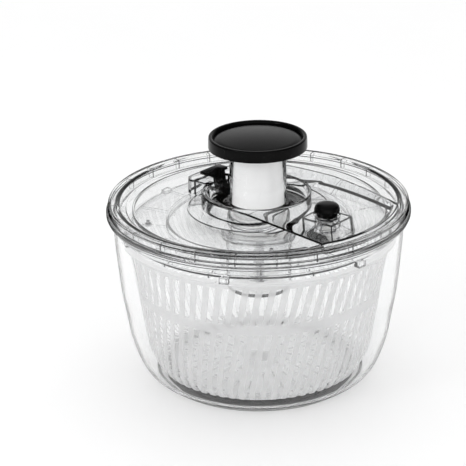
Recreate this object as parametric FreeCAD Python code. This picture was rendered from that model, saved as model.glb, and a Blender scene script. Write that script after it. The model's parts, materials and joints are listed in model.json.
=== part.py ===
import FreeCAD, Part
import math
import os

# Pump salad spinner: a clear bowl, a slotted basket that turns on a cone in the bowl's floor,
# and a lid with a press knob, a brake button and a lock that holds the knob down.
# Millimetres. The origin is on the bowl's axis, on the surface the spinner stands on. +Z is up.
# The lock, the knob and the brake stand in one line, the spine, which is turned SPINE_ANGLE
# about +Z. Lengths along the spine are called s (positive towards the brake), lengths across
# it are called t, so the lock lies at negative s.

V = FreeCAD.Vector
UP = V(0, 0, 1)

# ---- driving dimensions -------------------------------------------------------------------
SPINE_ANGLE = -41.0

# bowl: (radius, height) of the outside, from the foot to just under the lip
BOWL_SIDE = [(94.5, 4.0), (102.0, 10.0), (107.0, 18.0), (111.0, 28.0), (115.0, 42.0), (118.0, 60.0),
             (121.4, 80.0), (124.0, 105.0), (126.0, 130.0), (126.8, 149.2)]
BOWL_WALL = 2.4
BOWL_LIP_R = 131.2
BOWL_TOP = 151.6
BOWL_FLOOR_TOP = 6.5
BOWL_FLOOR_UNDER = 3.6
FOOT_Z = 1.2
FOOT_R = 90.5
RING_R = (77.5, 87.0)
RING_TOP = 4.2
CONE_R = (14.0, 2.2)
CONE_TOP = 15.6

# basket: (radius, height) of the outside, from the floor's edge to the rim
BASKET_SIDE = [(88.5, 11.5), (92.5, 15.0), (95.5, 20.0), (98.7, 28.0), (103.3, 53.0), (107.0, 79.0),
               (111.0, 106.0), (116.4, 131.5)]
BASKET_WALL = 1.8
BASKET_TOP = 133.5
BASKET_RIM_R = 120.6
BASKET_FLOOR = (11.5, 13.6)
SLOT_COUNT = 64
SLOT_WIDTH = 5.6
SLOT_LEAN = 10.0
SLOT_TIERS = [(10.5, 81.0), (91.0, 126.0)]
FLOOR_SLOT_RINGS = [(58.0, 72.0, 32), (40.0, 53.0, 22), (24.0, 36.0, 14)]
LUG_COUNT = 6
LUG_WIDTH = 8.0
LUG_PLAY = 0.7

# rotor: the clear disc under the lid that turns the basket
ROTOR_DISC_Z = (135.0, 137.0)
ROTOR_R = 113.6
DRUM_R = 80.0
DRUM_TOP = 143.0
CUP_R = 28.0
CUP_FLOOR = (80.0, 82.5)
CUP_NECK_R = 31.0
CUP_NECK_Z = 130.0
CUP_WALL = 2.0

# lid
LID_UNDER = 151.9
FLANGE_R = 132.5
FLANGE_TOP = 156.0
RIM_R = 130.7
RIM_TOP = 163.0
RIM_INNER_R = 121.0
LID_FLOOR = (155.0, 157.0)
LID_FLOOR_R = 115.0
SKIRT_R = (121.7, 123.6)
SKIRT_Z = 142.5
LID_WALL = 2.0
TONGUE_TOP = 169.5
TONGUE_FLAT_S = 30.0
TONGUE_NEAR_T = -49.5
TONGUE_FAR_T = 67.5
TONGUE_FAR_R = 69.0
LATCH_BOX_S = -72.0
LATCH_BOX_T = (-17.5, 17.0)

# knob well, plunger and its guide
WELL_R = 46.0
WELL_WALL = 2.0
WELL_FLOOR = (154.0, 156.0)
TUBE_R = 24.6
SLEEVE_R = (19.9, 22.2)
GUIDE_R = (24.68, 27.0)
GUIDE_Z = (132.0, 161.0)
PLUNGER_BOTTOM = 136.0
KNOB_R = 43.0
KNOB_Z = (209.6, 220.0)

# twisted spindle and clutch
SPINDLE_TOP = 146.0
SPINDLE_BAR = (9.0, 3.8)
SPINDLE_TWIST = 900.0
CLUTCH_Z = (82.5, 88.0)

# underplate
PLATE_Z = (151.5, 153.5)
PLATE_R = 110.0
SCREW_RING_R = 101.0
SCREW_ANGLES = [20.0, 95.0, 200.0, 275.0]

# brake
BRAKE_S = 75.7
BUTTON_R = 11.0
BUTTON_Z = (168.8, 176.0)

# lock
LOCK_S = -50.0
LOCK_PIN_Z = 156.5
LOCK_T = (3.5, 10.5)


# ---- helpers ------------------------------------------------------------------------------
def face_of(points):
    """A flat face in the XZ plane from (radius, height) corners."""
    corners = [V(r, 0, z) for r, z in points]
    return Part.Face(Part.makePolygon(corners + corners[:1]))


def lathe(points):
    """A solid turned about the axis from (radius, height) corners."""
    return face_of(points).revolve(V(0, 0, 0), UP, 360)


def ring(r_in, r_out, z_low, z_high):
    """A plain ring about the axis."""
    return lathe([(r_in, z_low), (r_out, z_low), (r_out, z_high), (r_in, z_high)])


def disc(radius, z_low, z_high):
    """A plain disc about the axis."""
    return Part.makeCylinder(radius, z_high - z_low, V(0, 0, z_low))


def post(radius, s, t, z_low, z_high):
    """An upright cylinder in the spine's own coordinates."""
    return Part.makeCylinder(radius, z_high - z_low, V(s, t, z_low))


def block(s, t, z):
    """A box in the spine's own coordinates, each range given as (low, high)."""
    return Part.makeBox(s[1] - s[0], t[1] - t[0], z[1] - z[0], V(s[0], t[0], z[0]))


def plate_in_sz(points, t_low, t_high):
    """An outline in the upright plane of the spine, thickened across it."""
    corners = [V(s, t_low, z) for s, z in points]
    face = Part.Face(Part.makePolygon(corners + corners[:1]))
    return face.extrude(V(0, t_high - t_low, 0))


def on_spine(shape):
    """Turns a shape from the spine's coordinates into the part's."""
    shape.rotate(V(0, 0, 0), UP, SPINE_ANGLE)
    return shape


def around(shape, count, start=0.0):
    """Copies of a shape, evenly spaced about the axis."""
    copies = []
    for index in range(count):
        copy = shape.copy()
        copy.rotate(V(0, 0, 0), UP, start + 360.0 * index / count)
        copies.append(copy)
    return copies


def inset(points, distance):
    """The same side line moved towards the axis by the wall, square to the line."""
    moved = []
    last = len(points) - 1
    for index, (r, z) in enumerate(points):
        before = points[max(index - 1, 0)]
        after = points[min(index + 1, last)]
        run = (after[0] - before[0], after[1] - before[1])
        length = math.hypot(*run)
        moved.append((r - distance * run[1] / length, z + distance * run[0] / length))
    return moved


def side_curve(points):
    """One smooth edge through (radius, height) points."""
    curve = Part.BSplineCurve()
    curve.interpolate([V(r, 0, z) for r, z in points])
    return curve.toShape()


def line_chain(points):
    """Straight edges through (radius, height) points."""
    corners = [V(r, 0, z) for r, z in points]
    return [Part.makeLine(a, b) for a, b in zip(corners, corners[1:])]


def shell_of(outer, inner, top, bottom):
    """A turned shell between two smooth side lines, closed by straight chains.

    top leads from the outer line's end to the inner line's end, bottom from the inner line's
    start to the outer line's start.
    """
    edges = [side_curve(outer)]
    edges += line_chain([outer[-1]] + top + [inner[-1]])
    edges.append(side_curve(inner))
    edges += line_chain([inner[0]] + bottom + [outer[0]])
    wire = Part.Wire(Part.__sortEdges__(edges))
    return Part.Face(wire).revolve(V(0, 0, 0), UP, 360)


def helix_spring(radius, wire_r, z_low, z_high, turns, place=V(0, 0, 0)):
    """A coil spring of eight-sided wire about an upright line through place, between two heights."""
    pitch = (z_high - z_low - 2 * wire_r) / turns
    start = place + V(0, 0, z_low + wire_r)
    path = Part.makeHelix(pitch, pitch * turns, radius)
    path.translate(start)
    corners = []
    for index in range(8):
        turn = math.radians(45.0 * index)
        corners.append(start + V(radius + wire_r * math.cos(turn), 0, wire_r * math.sin(turn)))
    section = Part.makePolygon(corners + corners[:1])
    return Part.Wire(path).makePipeShell([section], True, True)


# ---- bowl ---------------------------------------------------------------------------------
def make_bowl():
    """Clear bowl with a lip, a foot, a groove for the ring and the cone the basket turns on."""
    inner = inset(BOWL_SIDE, BOWL_WALL)
    mouth_r = inner[-1][0]
    top = [(BOWL_LIP_R, BOWL_SIDE[-1][1]), (BOWL_LIP_R, BOWL_TOP), (mouth_r, BOWL_TOP)]
    groove = [(RING_R[1], FOOT_Z), (RING_R[1], RING_TOP), (RING_R[0], RING_TOP), (RING_R[0], FOOT_Z)]
    cone = [(CONE_R[0], BOWL_FLOOR_TOP), (CONE_R[1], CONE_TOP), (0, CONE_TOP + 0.6)]
    bottom = [(inner[0][0] - 2.0, BOWL_FLOOR_TOP)] + cone + [(0, BOWL_FLOOR_UNDER)]
    bottom += [(RING_R[0] - 3.0, BOWL_FLOOR_UNDER), (RING_R[0] - 2.0, FOOT_Z)]
    bottom += groove[::-1] + [(FOOT_R, FOOT_Z)]
    return shell_of(BOWL_SIDE, inner, top, bottom)


def make_non_slip_ring():
    """Soft ring that fills the groove and stands below the foot."""
    low, high = RING_R
    outline = [(low, 0.8), (low + 0.8, 0), (high - 0.8, 0), (high, 0.8), (high, RING_TOP), (low, RING_TOP)]
    return lathe(outline)


# ---- basket -------------------------------------------------------------------------------
def wall_slots():
    """Leaning slots in two tiers round the basket's wall."""
    slots = []
    for z_low, z_high in SLOT_TIERS:
        middle = (z_low + z_high) / 2
        height = (z_high - z_low) / math.cos(math.radians(SLOT_LEAN))
        slot = Part.makeBox(50, SLOT_WIDTH, height, V(78, -SLOT_WIDTH / 2, -height / 2))
        slot.rotate(V(0, 0, 0), V(1, 0, 0), -SLOT_LEAN)
        slot.translate(V(0, 0, middle))
        slots += around(slot, SLOT_COUNT)
    return slots


def floor_slots():
    """Rings of radial slots in the basket's floor."""
    slots = []
    for r_in, r_out, count in FLOOR_SLOT_RINGS:
        slot = Part.makeBox(r_out - r_in, 4.2, 8, V(r_in, -2.1, BASKET_FLOOR[0] - 3))
        slots += around(slot, count)
    return slots


def make_basket():
    """Slotted basket with a rim, notches for the rotor's lugs and a socket for the bowl's cone."""
    inner = inset(BASKET_SIDE, BASKET_WALL)
    under, floor = BASKET_FLOOR
    top = [(BASKET_RIM_R, BASKET_SIDE[-1][1]), (BASKET_RIM_R, BASKET_TOP), (inner[-1][0], BASKET_TOP)]
    hub = [(16.0, floor), (13.0, 21.0), (0, 21.0), (0, CONE_TOP + 1.4), (3.4, CONE_TOP + 1.4), (8.6, under)]
    bottom = [(inner[0][0] - 1.0, floor)] + hub
    basket = shell_of(BASKET_SIDE, inner, top, bottom)
    notch = block((110.0, 122.0), (-LUG_WIDTH / 2 - LUG_PLAY, LUG_WIDTH / 2 + LUG_PLAY), (131.5, 134.0))
    cuts = wall_slots() + floor_slots() + around(notch, LUG_COUNT, 15.0)
    return basket.cut(cuts)


# ---- rotor and clutch ---------------------------------------------------------------------
def make_drive_disc():
    """Clear disc that carries the brake drum, the lugs and the deep cup round the spindle."""
    low, high = ROTOR_DISC_Z
    floor_under, floor_top = CUP_FLOOR
    bore = CUP_R - CUP_WALL
    neck_bore = CUP_NECK_R - CUP_WALL
    outline = [(3.08, floor_top), (bore, floor_top), (bore, CUP_NECK_Z), (neck_bore, CUP_NECK_Z + 2.0),
               (neck_bore, DRUM_TOP), (DRUM_R, DRUM_TOP), (DRUM_R, high), (ROTOR_R, high), (ROTOR_R, 131.0),
               (ROTOR_R - 1.8, 131.0), (ROTOR_R - 1.8, low), (DRUM_R - 2.0, low),
               (DRUM_R - 2.0, DRUM_TOP - 2.0),
               (CUP_NECK_R, DRUM_TOP - 2.0), (CUP_NECK_R, CUP_NECK_Z), (CUP_R, CUP_NECK_Z - 2.0),
               (CUP_R, floor_under), (12.0, floor_under), (10.0, 77.5), (0, 77.5), (0, 79.2), (3.08, 79.2)]
    rotor = lathe(outline)
    lug = block((ROTOR_R - 1.0, 119.0), (-LUG_WIDTH / 2, LUG_WIDTH / 2), (132.0, high))
    return rotor.fuse(around(lug, LUG_COUNT, 15.0)).removeSplitter()


def make_rotor_bearing():
    """Slippery bush in the cup's neck that runs on the plunger guide."""
    return ring(GUIDE_R[1] + 0.05, CUP_NECK_R - CUP_WALL, 137.5, 143.0)


def make_ratchet_ring():
    """Toothed ring on the cup's floor that the pawls push round."""
    low, high = CLUTCH_Z
    outer = disc(23.0, low, high)
    teeth = []
    count = 12
    for index in range(count):
        start = math.radians(360.0 * index / count)
        end = math.radians(360.0 * (index + 1) / count)
        teeth.append(V(20.0 * math.cos(start), 20.0 * math.sin(start), low))
        teeth.append(V(17.4 * math.cos(end), 17.4 * math.sin(end), low))
    hole = Part.Face(Part.makePolygon(teeth + teeth[:1])).extrude(V(0, 0, high - low))
    return outer.cut(hole)


def make_clutch_cover():
    """Ring that closes the clutch."""
    return ring(9.0, 23.0, CLUTCH_Z[1], CLUTCH_Z[1] + 1.2)


def make_pawl_carrier():
    """Round carrier fixed to the spindle's foot, with two pockets for the pawls."""
    carrier = disc(15.0, 83.0, 87.4)
    bore = disc(3.0, 82.0, 88.0)
    pocket = Part.makeBox(7, 9, 10, V(10, -4, 80))
    return carrier.cut([bore] + around(pocket, 2))


def make_drive_pawls():
    """Two wedge pawls that lie in the carrier's pockets."""
    corners = [V(10.2, -3.8, 83.3), V(16.2, -3.8, 83.3), V(14.0, 4.8, 83.3), V(10.2, 4.8, 83.3)]
    pawl = Part.Face(Part.makePolygon(corners + corners[:1])).extrude(V(0, 0, 3.9))
    return Part.makeCompound(around(pawl, 2))


def make_spindle():
    """Twisted bar with a round journal at its foot."""
    width, depth = SPINDLE_BAR
    z_low = 89.0
    steps = 30
    sections = []
    for step in range(steps + 1):
        z = z_low + (SPINDLE_TOP - z_low) * step / steps
        turn = math.radians(SPINDLE_TWIST * step / steps)
        along = V(math.cos(turn), math.sin(turn), 0) * (width / 2)
        across = V(-math.sin(turn), math.cos(turn), 0) * (depth / 2)
        corners = [V(0, 0, z) + along * a + across * b for a, b in ((1, 1), (-1, 1), (-1, -1), (1, -1))]
        sections.append(Part.makePolygon(corners + corners[:1]))
    bar = Part.makeLoft(sections, True, False)
    hub = disc(8.6, 87.4, 89.4)
    journal = disc(3.0, 79.5, 89.0)
    return bar.fuse([hub, journal])


def make_spring_seat():
    """Washer on the spindle's top end that carries the return spring."""
    return disc(9.4, SPINDLE_TOP, SPINDLE_TOP + 1.8)


# ---- lid ----------------------------------------------------------------------------------
def tongue_outline():
    """Plan outline of the lid's raised part, in the spine's coordinates, as a closed wire."""
    near_r = -TONGUE_NEAR_T
    rim_r = RIM_INNER_R + 1.0
    low_t, high_t = LATCH_BOX_T
    near_s = math.sqrt(rim_r ** 2 - near_r ** 2)
    far_s = math.sqrt(rim_r ** 2 - 62.0 ** 2)
    near_join = V(-math.sqrt(near_r ** 2 - low_t ** 2), low_t, 0)
    far_join = V(-math.sqrt(TONGUE_FAR_R ** 2 - high_t ** 2), high_t, 0)
    middle = math.radians(-120.0)
    edges = [
        Part.makeLine(V(near_s, TONGUE_NEAR_T, 0), V(0, TONGUE_NEAR_T, 0)),
        Part.Arc(V(0, TONGUE_NEAR_T, 0), V(near_r * math.cos(middle), near_r * math.sin(middle), 0),
                 near_join).toShape(),
        Part.makeLine(near_join, V(LATCH_BOX_S + 6.0, low_t, 0)),
        Part.makeLine(V(LATCH_BOX_S + 6.0, low_t, 0), V(LATCH_BOX_S, low_t + 7.0, 0)),
        Part.makeLine(V(LATCH_BOX_S, low_t + 7.0, 0), V(LATCH_BOX_S, high_t - 5.0, 0)),
        Part.makeLine(V(LATCH_BOX_S, high_t - 5.0, 0), far_join),
    ]
    far_start = V(-15.0, math.sqrt(TONGUE_FAR_R ** 2 - 15.0 ** 2), 0)
    turn = math.radians(135.0)
    far_mid = V(TONGUE_FAR_R * math.cos(turn), TONGUE_FAR_R * math.sin(turn), 0)
    edges.append(Part.Arc(far_join, far_mid, far_start).toShape())
    far_end = V(far_s, 62.0, 0)
    edges.append(Part.Arc(far_start, V(45.0, TONGUE_FAR_T + 2.5, 0), far_end).toShape())
    edges.append(Part.Arc(far_end, V(rim_r, 0, 0), V(near_s, TONGUE_NEAR_T, 0)).toShape())
    return Part.Wire(Part.__sortEdges__(edges))


def under_tongue_roof(drop):
    """Everything below the tongue's roof, lowered by drop: level, then sloping to the rim."""
    roof = TONGUE_TOP - drop
    low = RIM_TOP - drop
    corners = [(-80.0, 150.0), (-80.0, roof), (TONGUE_FLAT_S, roof), (RIM_INNER_R, low), (130.0, low),
               (130.0, 150.0)]
    return plate_in_sz(corners, -130.0, 130.0)


def make_lid_shell():
    """Clear lid: hollow rim, flange, skirt, lowered floor and the hollow raised tongue."""
    floor_under, floor_top = LID_FLOOR
    wall = LID_WALL
    outline = [(0, floor_under), (LID_FLOOR_R, floor_under), (RIM_INNER_R, RIM_TOP - wall),
               (SKIRT_R[0], RIM_TOP - wall), (SKIRT_R[0], SKIRT_Z), (SKIRT_R[1], SKIRT_Z),
               (SKIRT_R[1], RIM_TOP - wall),
               (RIM_R - wall, RIM_TOP - wall), (RIM_R - wall, LID_UNDER), (FLANGE_R, LID_UNDER),
               (FLANGE_R, FLANGE_TOP), (RIM_R, FLANGE_TOP + 0.4), (RIM_R, RIM_TOP - 1.6),
               (RIM_R - 1.6, RIM_TOP),
               (RIM_INNER_R, RIM_TOP), (LID_FLOOR_R, floor_top), (0, floor_top)]
    lid = lathe(outline)
    plan = tongue_outline()
    plan.translate(V(0, 0, floor_under))
    tongue = Part.Face(plan).extrude(V(0, 0, 30)).common(under_tongue_roof(0))
    hollow_plan = tongue_outline().makeOffset2D(-wall)
    hollow_plan.translate(V(0, 0, 150.0))
    inside = disc(RIM_INNER_R - 4.0, 150.0, 172.0)
    hollow = Part.Face(hollow_plan).extrude(V(0, 0, 30)).common(under_tongue_roof(wall)).common(inside)
    lid = lid.fuse(on_spine(tongue)).cut(on_spine(hollow))
    window = block((-61.0, -40.0), (-15.4, 14.9), (157.5, 175.0))
    button_hole = post(BUTTON_R + 0.6, BRAKE_S, 0, 158.0, 175.0)
    cuts = [disc(WELL_R + 0.1, 150.0, 175.0), on_spine(window), on_spine(button_hole)]
    cuts += screw_places(1.5, LID_FLOOR[0] - 4.0, LID_FLOOR[1] - 0.6)
    lid = lid.fuse(screw_places(3.5, PLATE_Z[1], floor_under + 0.5)).cut(cuts)
    return lid.removeSplitter()


def screw_places(radius, z_low, z_high):
    """An upright cylinder at each underplate screw."""
    places = []
    for angle in SCREW_ANGLES:
        turn = math.radians(angle)
        place = V(SCREW_RING_R * math.cos(turn), SCREW_RING_R * math.sin(turn), z_low)
        places.append(Part.makeCylinder(radius, z_high - z_low, place))
    return places


def make_underplate():
    """Clear plate under the lid that carries the lock's pin, the brake and the guide."""
    low, high = PLATE_Z
    bore = GUIDE_R[1] + 0.6
    outline = [(bore, low), (PLATE_R, low), (PLATE_R, LID_FLOOR[0]), (PLATE_R - 2.0, LID_FLOOR[0]),
               (PLATE_R - 2.0, high), (bore, high)]
    plate = lathe(outline)
    lever_gap = block((-60.0, -33.0), (LOCK_T[0] - 0.6, LOCK_T[1] + 0.6), (low - 1, high + 1))
    stem_hole = post(4.4, BRAKE_S, 0, low - 1, high + 1)
    return plate.cut([on_spine(lever_gap), on_spine(stem_hole)] + screw_places(1.7, low - 1, high + 1))


def make_underplate_screws():
    """Four small pan-head screws that hold the underplate."""
    low = PLATE_Z[0]
    shanks = screw_places(1.5, low, LID_FLOOR[1] - 0.8)
    heads = screw_places(3.0, low - 1.7, low)
    screws = [head.fuse(shank).removeSplitter() for head, shank in zip(heads, shanks)]
    return Part.makeCompound(screws)


def make_knob_well():
    """Round well in the lid in which the knob nests, with gaps for the lock lever."""
    low, high = WELL_FLOOR
    inner = WELL_R - WELL_WALL
    bore = GUIDE_R[1] + 0.3
    top = TONGUE_TOP - 0.4
    outline = [(bore, low), (WELL_R, low), (WELL_R, top), (inner, top), (inner, high), (bore, high)]
    gap = block((-50.0, -33.0), (LOCK_T[0] - 0.6, LOCK_T[1] + 0.6), (low - 1, 175.0))
    return lathe(outline).cut(on_spine(gap))


def make_plunger_guide():
    """Clear sleeve that guides the plunger and carries the rotor's bearing."""
    low, high = GUIDE_Z
    bore, outer = GUIDE_R
    groove = outer - 0.7
    floor = WELL_FLOOR[1]
    outline = [(bore, low), (outer, low), (outer, 135.0), (groove, 135.0), (groove, 136.6), (outer, 136.6),
               (outer, floor), (31.0, floor), (31.0, 158.0), (28.2, 158.0), (28.2, high), (bore, high)]
    return lathe(outline)


def make_retaining_clip():
    """Open snap ring in the guide's groove that keeps the rotor up."""
    clip = ring(GUIDE_R[1] - 0.7, 28.4, 135.05, 136.55)
    return clip.cut(block((20.0, 32.0), (-3.0, 3.0), (134.0, 138.0)))


# ---- plunger ------------------------------------------------------------------------------
def make_knob_cap():
    """Black press knob: rounded rim, sunk and slightly domed top, hollow below."""
    low, high = KNOB_Z
    edge = V(KNOB_R - 1.6, 0, high)
    side = V(KNOB_R, 0, high - 1.6)
    corner = V(KNOB_R - 0.47, 0, high - 0.47)
    dome_start = V(KNOB_R - 4.4, 0, high - 1.7)
    dome_mid = V(KNOB_R / 2, 0, high - 1.1)
    dome_end = V(3.0, 0, high - 0.8)
    top_middle = V(0, 0, high - 0.8)
    roof = high - 4.0
    edges = [Part.makeLine(V(KNOB_R - 2.2, 0, low), V(KNOB_R, 0, low)),
             Part.makeLine(V(KNOB_R, 0, low), side),
             Part.Arc(side, corner, edge).toShape(),
             Part.makeLine(edge, V(KNOB_R - 3.4, 0, high)),
             Part.makeLine(V(KNOB_R - 3.4, 0, high), dome_start),
             Part.Arc(dome_start, dome_mid, dome_end).toShape(),
             Part.makeLine(dome_end, top_middle),
             Part.makeLine(top_middle, V(0, 0, roof)),
             Part.makeLine(V(0, 0, roof), V(KNOB_R - 2.2, 0, roof)),
             Part.makeLine(V(KNOB_R - 2.2, 0, roof), V(KNOB_R - 2.2, 0, low))]
    return Part.Face(Part.Wire(edges)).revolve(V(0, 0, 0), UP, 360)


def knob_screw_places(radius, z_low, z_high):
    """An upright cylinder at each of the three knob screws."""
    return around(Part.makeCylinder(radius, z_high - z_low, V(12.0, 0, z_low)), 3)


def make_knob_core():
    """Stiff plate inside the knob, with the spigot that holds the plunger tubes."""
    low = KNOB_Z[0] + 0.4
    roof = KNOB_Z[1] - 4.0
    spigot = SLEEVE_R[0] - 0.1
    foot = low - 12.0
    edge = KNOB_R - 2.3
    outline = [(0, low), (15.4, low), (15.4, foot), (spigot, foot), (spigot, low), (edge, low), (edge, roof),
               (0, roof)]
    return lathe(outline).cut(knob_screw_places(1.4, low - 1, roof + 1))


def make_knob_screws():
    """Three screws that hold the core in the knob."""
    low = KNOB_Z[0] + 0.4
    heads = knob_screw_places(2.6, low - 1.6, low)
    shanks = knob_screw_places(1.4, low, KNOB_Z[1] - 4.0)
    return Part.makeCompound([head.fuse(shank).removeSplitter() for head, shank in zip(heads, shanks)])


def make_plunger_tube():
    """Clear outer tube of the plunger."""
    return ring(SLEEVE_R[1] + 0.2, TUBE_R, PLUNGER_BOTTOM + 5.0, KNOB_Z[0] + 0.4)


def make_plunger_sleeve():
    """Satin sleeve inside the clear tube."""
    return ring(SLEEVE_R[0], SLEEVE_R[1], PLUNGER_BOTTOM + 5.0, KNOB_Z[0] + 0.4)


def make_helix_nut():
    """Nut at the plunger's foot that turns the spindle as it slides down."""
    low = PLUNGER_BOTTOM
    outline = [(5.4, low), (23.5, low), (23.5, low + 5.0), (19.2, low + 5.0), (19.2, low + 6.5),
               (17.0, low + 6.5), (17.0, low + 4.0), (8.4, low + 4.0), (8.4, low + 9.0), (5.4, low + 9.0)]
    return lathe(outline)


def make_return_spring():
    """Spring inside the plunger that lifts the knob."""
    return helix_spring(8.2, 0.65, SPINDLE_TOP + 1.8, KNOB_Z[0] + 0.4, 12)


# ---- brake --------------------------------------------------------------------------------
def make_brake_housing():
    """Clear box under the tongue, with the sleeve the brake button slides in."""
    low = PLATE_Z[1]
    high = 162.6
    outer = block((BRAKE_S - 16.0, BRAKE_S + 15.5), (-14.0, 14.0), (low, high))
    room = block((BRAKE_S - 14.4, BRAKE_S + 13.9), (-12.4, 12.4), (low - 1, high - 1.6))
    sleeve = post(BUTTON_R - 0.4, BRAKE_S, 0, high - 6.0, 164.9)
    bore = post(9.0, BRAKE_S, 0, low - 1, 170.0)
    return on_spine(outer.cut(room).fuse(sleeve).cut(bore).removeSplitter())


def make_brake_button():
    """Black domed cap with a neck that slides in the housing."""
    low, high = BUTTON_Z
    arc_start = V(BUTTON_R, 0, low + 4.2)
    arc_mid = V(BUTTON_R - 2.2, 0, high - 0.9)
    arc_end = V(4.0, 0, high)
    edges = [Part.makeLine(V(0, 0, 161.0), V(8.9, 0, 161.0)),
             Part.makeLine(V(8.9, 0, 161.0), V(8.9, 0, low)),
             Part.makeLine(V(8.9, 0, low), V(BUTTON_R, 0, low)),
             Part.makeLine(V(BUTTON_R, 0, low), arc_start),
             Part.Arc(arc_start, arc_mid, arc_end).toShape(),
             Part.makeLine(arc_end, V(0, 0, high)),
             Part.makeLine(V(0, 0, high), V(0, 0, 161.0))]
    button = Part.Face(Part.Wire(edges)).revolve(V(0, 0, 0), UP, 360)
    button.translate(V(BRAKE_S, 0, 0))
    return on_spine(button)


def make_brake_stem():
    """Stem from the button down through the underplate, with a foot for the pad."""
    stem = post(4.0, BRAKE_S, 0, 149.5, 161.0)
    foot = block((BRAKE_S - 5.0, BRAKE_S + 3.8), (-9.0, 9.0), (148.6, 150.4))
    return on_spine(stem.fuse(foot).removeSplitter())


def make_brake_pad():
    """Rubber pad that presses on the rotor's drum."""
    return on_spine(block((BRAKE_S - 5.0, BRAKE_S + 3.8), (-9.0, 9.0), (146.5, 148.6)))


def make_brake_spring():
    """Spring between the underplate and the button."""
    turn = math.radians(SPINE_ANGLE)
    place = V(BRAKE_S * math.cos(turn), BRAKE_S * math.sin(turn), 0)
    return helix_spring(6.4, 0.6, PLATE_Z[1], 161.0, 3, place)


# ---- lock ---------------------------------------------------------------------------------
def make_lock_housing():
    """Clear open box round the lock lever, with two cheeks for its pin."""
    low = PLATE_Z[1]
    high = 168.6
    s_range = (LOCK_S - 10.5, LOCK_S + 3.6)
    outer = block(s_range, (-15.2, 14.7), (low, high))
    room = block((s_range[0] + 1.6, s_range[1] + 5), (-13.6, 13.1), (low - 1, high + 1))
    walls = outer.cut(room)
    near_cheek = block((LOCK_S - 9.0, LOCK_S + 3.6), (LOCK_T[0] - 2.2, LOCK_T[0] - 0.6), (low, 163.6))
    far_cheek = block((LOCK_S - 9.0, LOCK_S + 3.6), (LOCK_T[1] + 0.6, LOCK_T[1] + 2.4), (low, 163.6))
    pin_bore = Part.makeCylinder(1.25, 40, V(LOCK_S, LOCK_T[0] - 2.3, LOCK_PIN_Z), V(0, 1, 0))
    pin_bore = pin_bore.common(block((-60, -40), (LOCK_T[0] - 2.3, LOCK_T[1] + 2.4), (150, 165)))
    return on_spine(walls.fuse([near_cheek, far_cheek]).cut(pin_bore).removeSplitter())


def make_lock_pin():
    """Steel pin the lock lever tilts on."""
    start = LOCK_T[0] - 2.2
    length = LOCK_T[1] + 2.4 - start
    return on_spine(Part.makeCylinder(1.25, length, V(LOCK_S, start, LOCK_PIN_Z), V(0, 1, 0)))


def make_lock_lever():
    """Black lever with a hook that tilts over the pressed knob, and a finger tab."""
    side = [(-53.0, 147.5), (-41.0, 147.5), (-38.0, 154.5), (-39.0, 161.0), (-45.4, 163.2), (-47.4, 176.2),
            (-43.8, 176.2), (-44.2, 178.6), (-55.0, 178.6), (-55.4, 168.0)]
    lever = plate_in_sz(side, LOCK_T[0], LOCK_T[1])
    corners = [V(-55.0, -14.0, 178.6), V(-55.0, -14.0, 176.0), V(-55.0, LOCK_T[0] + 1, 167.0),
               V(-55.0, LOCK_T[0] + 1, 178.6)]
    tab = Part.Face(Part.makePolygon(corners + corners[:1])).extrude(V(5.5, 0, 0))
    bore = Part.makeCylinder(1.3, 20, V(LOCK_S, 0, LOCK_PIN_Z), V(0, 1, 0))
    return on_spine(lever.fuse(tab).cut(bore).removeSplitter())


# ---- output -------------------------------------------------------------------------------
NODES = {
    "bowl": make_bowl,
    "non_slip_ring": make_non_slip_ring,
    "basket": make_basket,
    "drive_disc": make_drive_disc,
    "rotor_bearing": make_rotor_bearing,
    "ratchet_ring": make_ratchet_ring,
    "clutch_cover": make_clutch_cover,
    "pawl_carrier": make_pawl_carrier,
    "drive_pawls": make_drive_pawls,
    "twisted_spindle": make_spindle,
    "spring_seat": make_spring_seat,
    "lid_shell": make_lid_shell,
    "lid_underplate": make_underplate,
    "underplate_screws": make_underplate_screws,
    "knob_well": make_knob_well,
    "plunger_guide": make_plunger_guide,
    "retaining_clip": make_retaining_clip,
    "knob_cap": make_knob_cap,
    "knob_core": make_knob_core,
    "knob_screws": make_knob_screws,
    "plunger_tube": make_plunger_tube,
    "plunger_sleeve": make_plunger_sleeve,
    "helix_nut": make_helix_nut,
    "return_spring": make_return_spring,
    "brake_housing": make_brake_housing,
    "brake_button": make_brake_button,
    "brake_stem": make_brake_stem,
    "brake_pad": make_brake_pad,
    "brake_spring": make_brake_spring,
    "lock_housing": make_lock_housing,
    "lock_pin": make_lock_pin,
    "lock_lever": make_lock_lever,
}

os.makedirs("parts", exist_ok=True)
for name, make in NODES.items():
    shape = make()
    shape.exportStep("parts/" + name + ".step")
    print(name, len(shape.Solids), "solids, valid", shape.isValid(), "volume", round(shape.Volume))
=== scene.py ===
"""Looks of the salad spinner: shells, basket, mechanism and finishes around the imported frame.

All lengths below are millimetres and are scaled to metres when a mesh is made. Heights come from
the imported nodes. The line through lock, knob and brake is the spine: s runs along it towards the
brake, t runs across it.
"""

import json
import logging
import math
from dataclasses import dataclass
from enum import Enum

import bmesh
import bpy
from mathutils import Matrix, Vector

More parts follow.
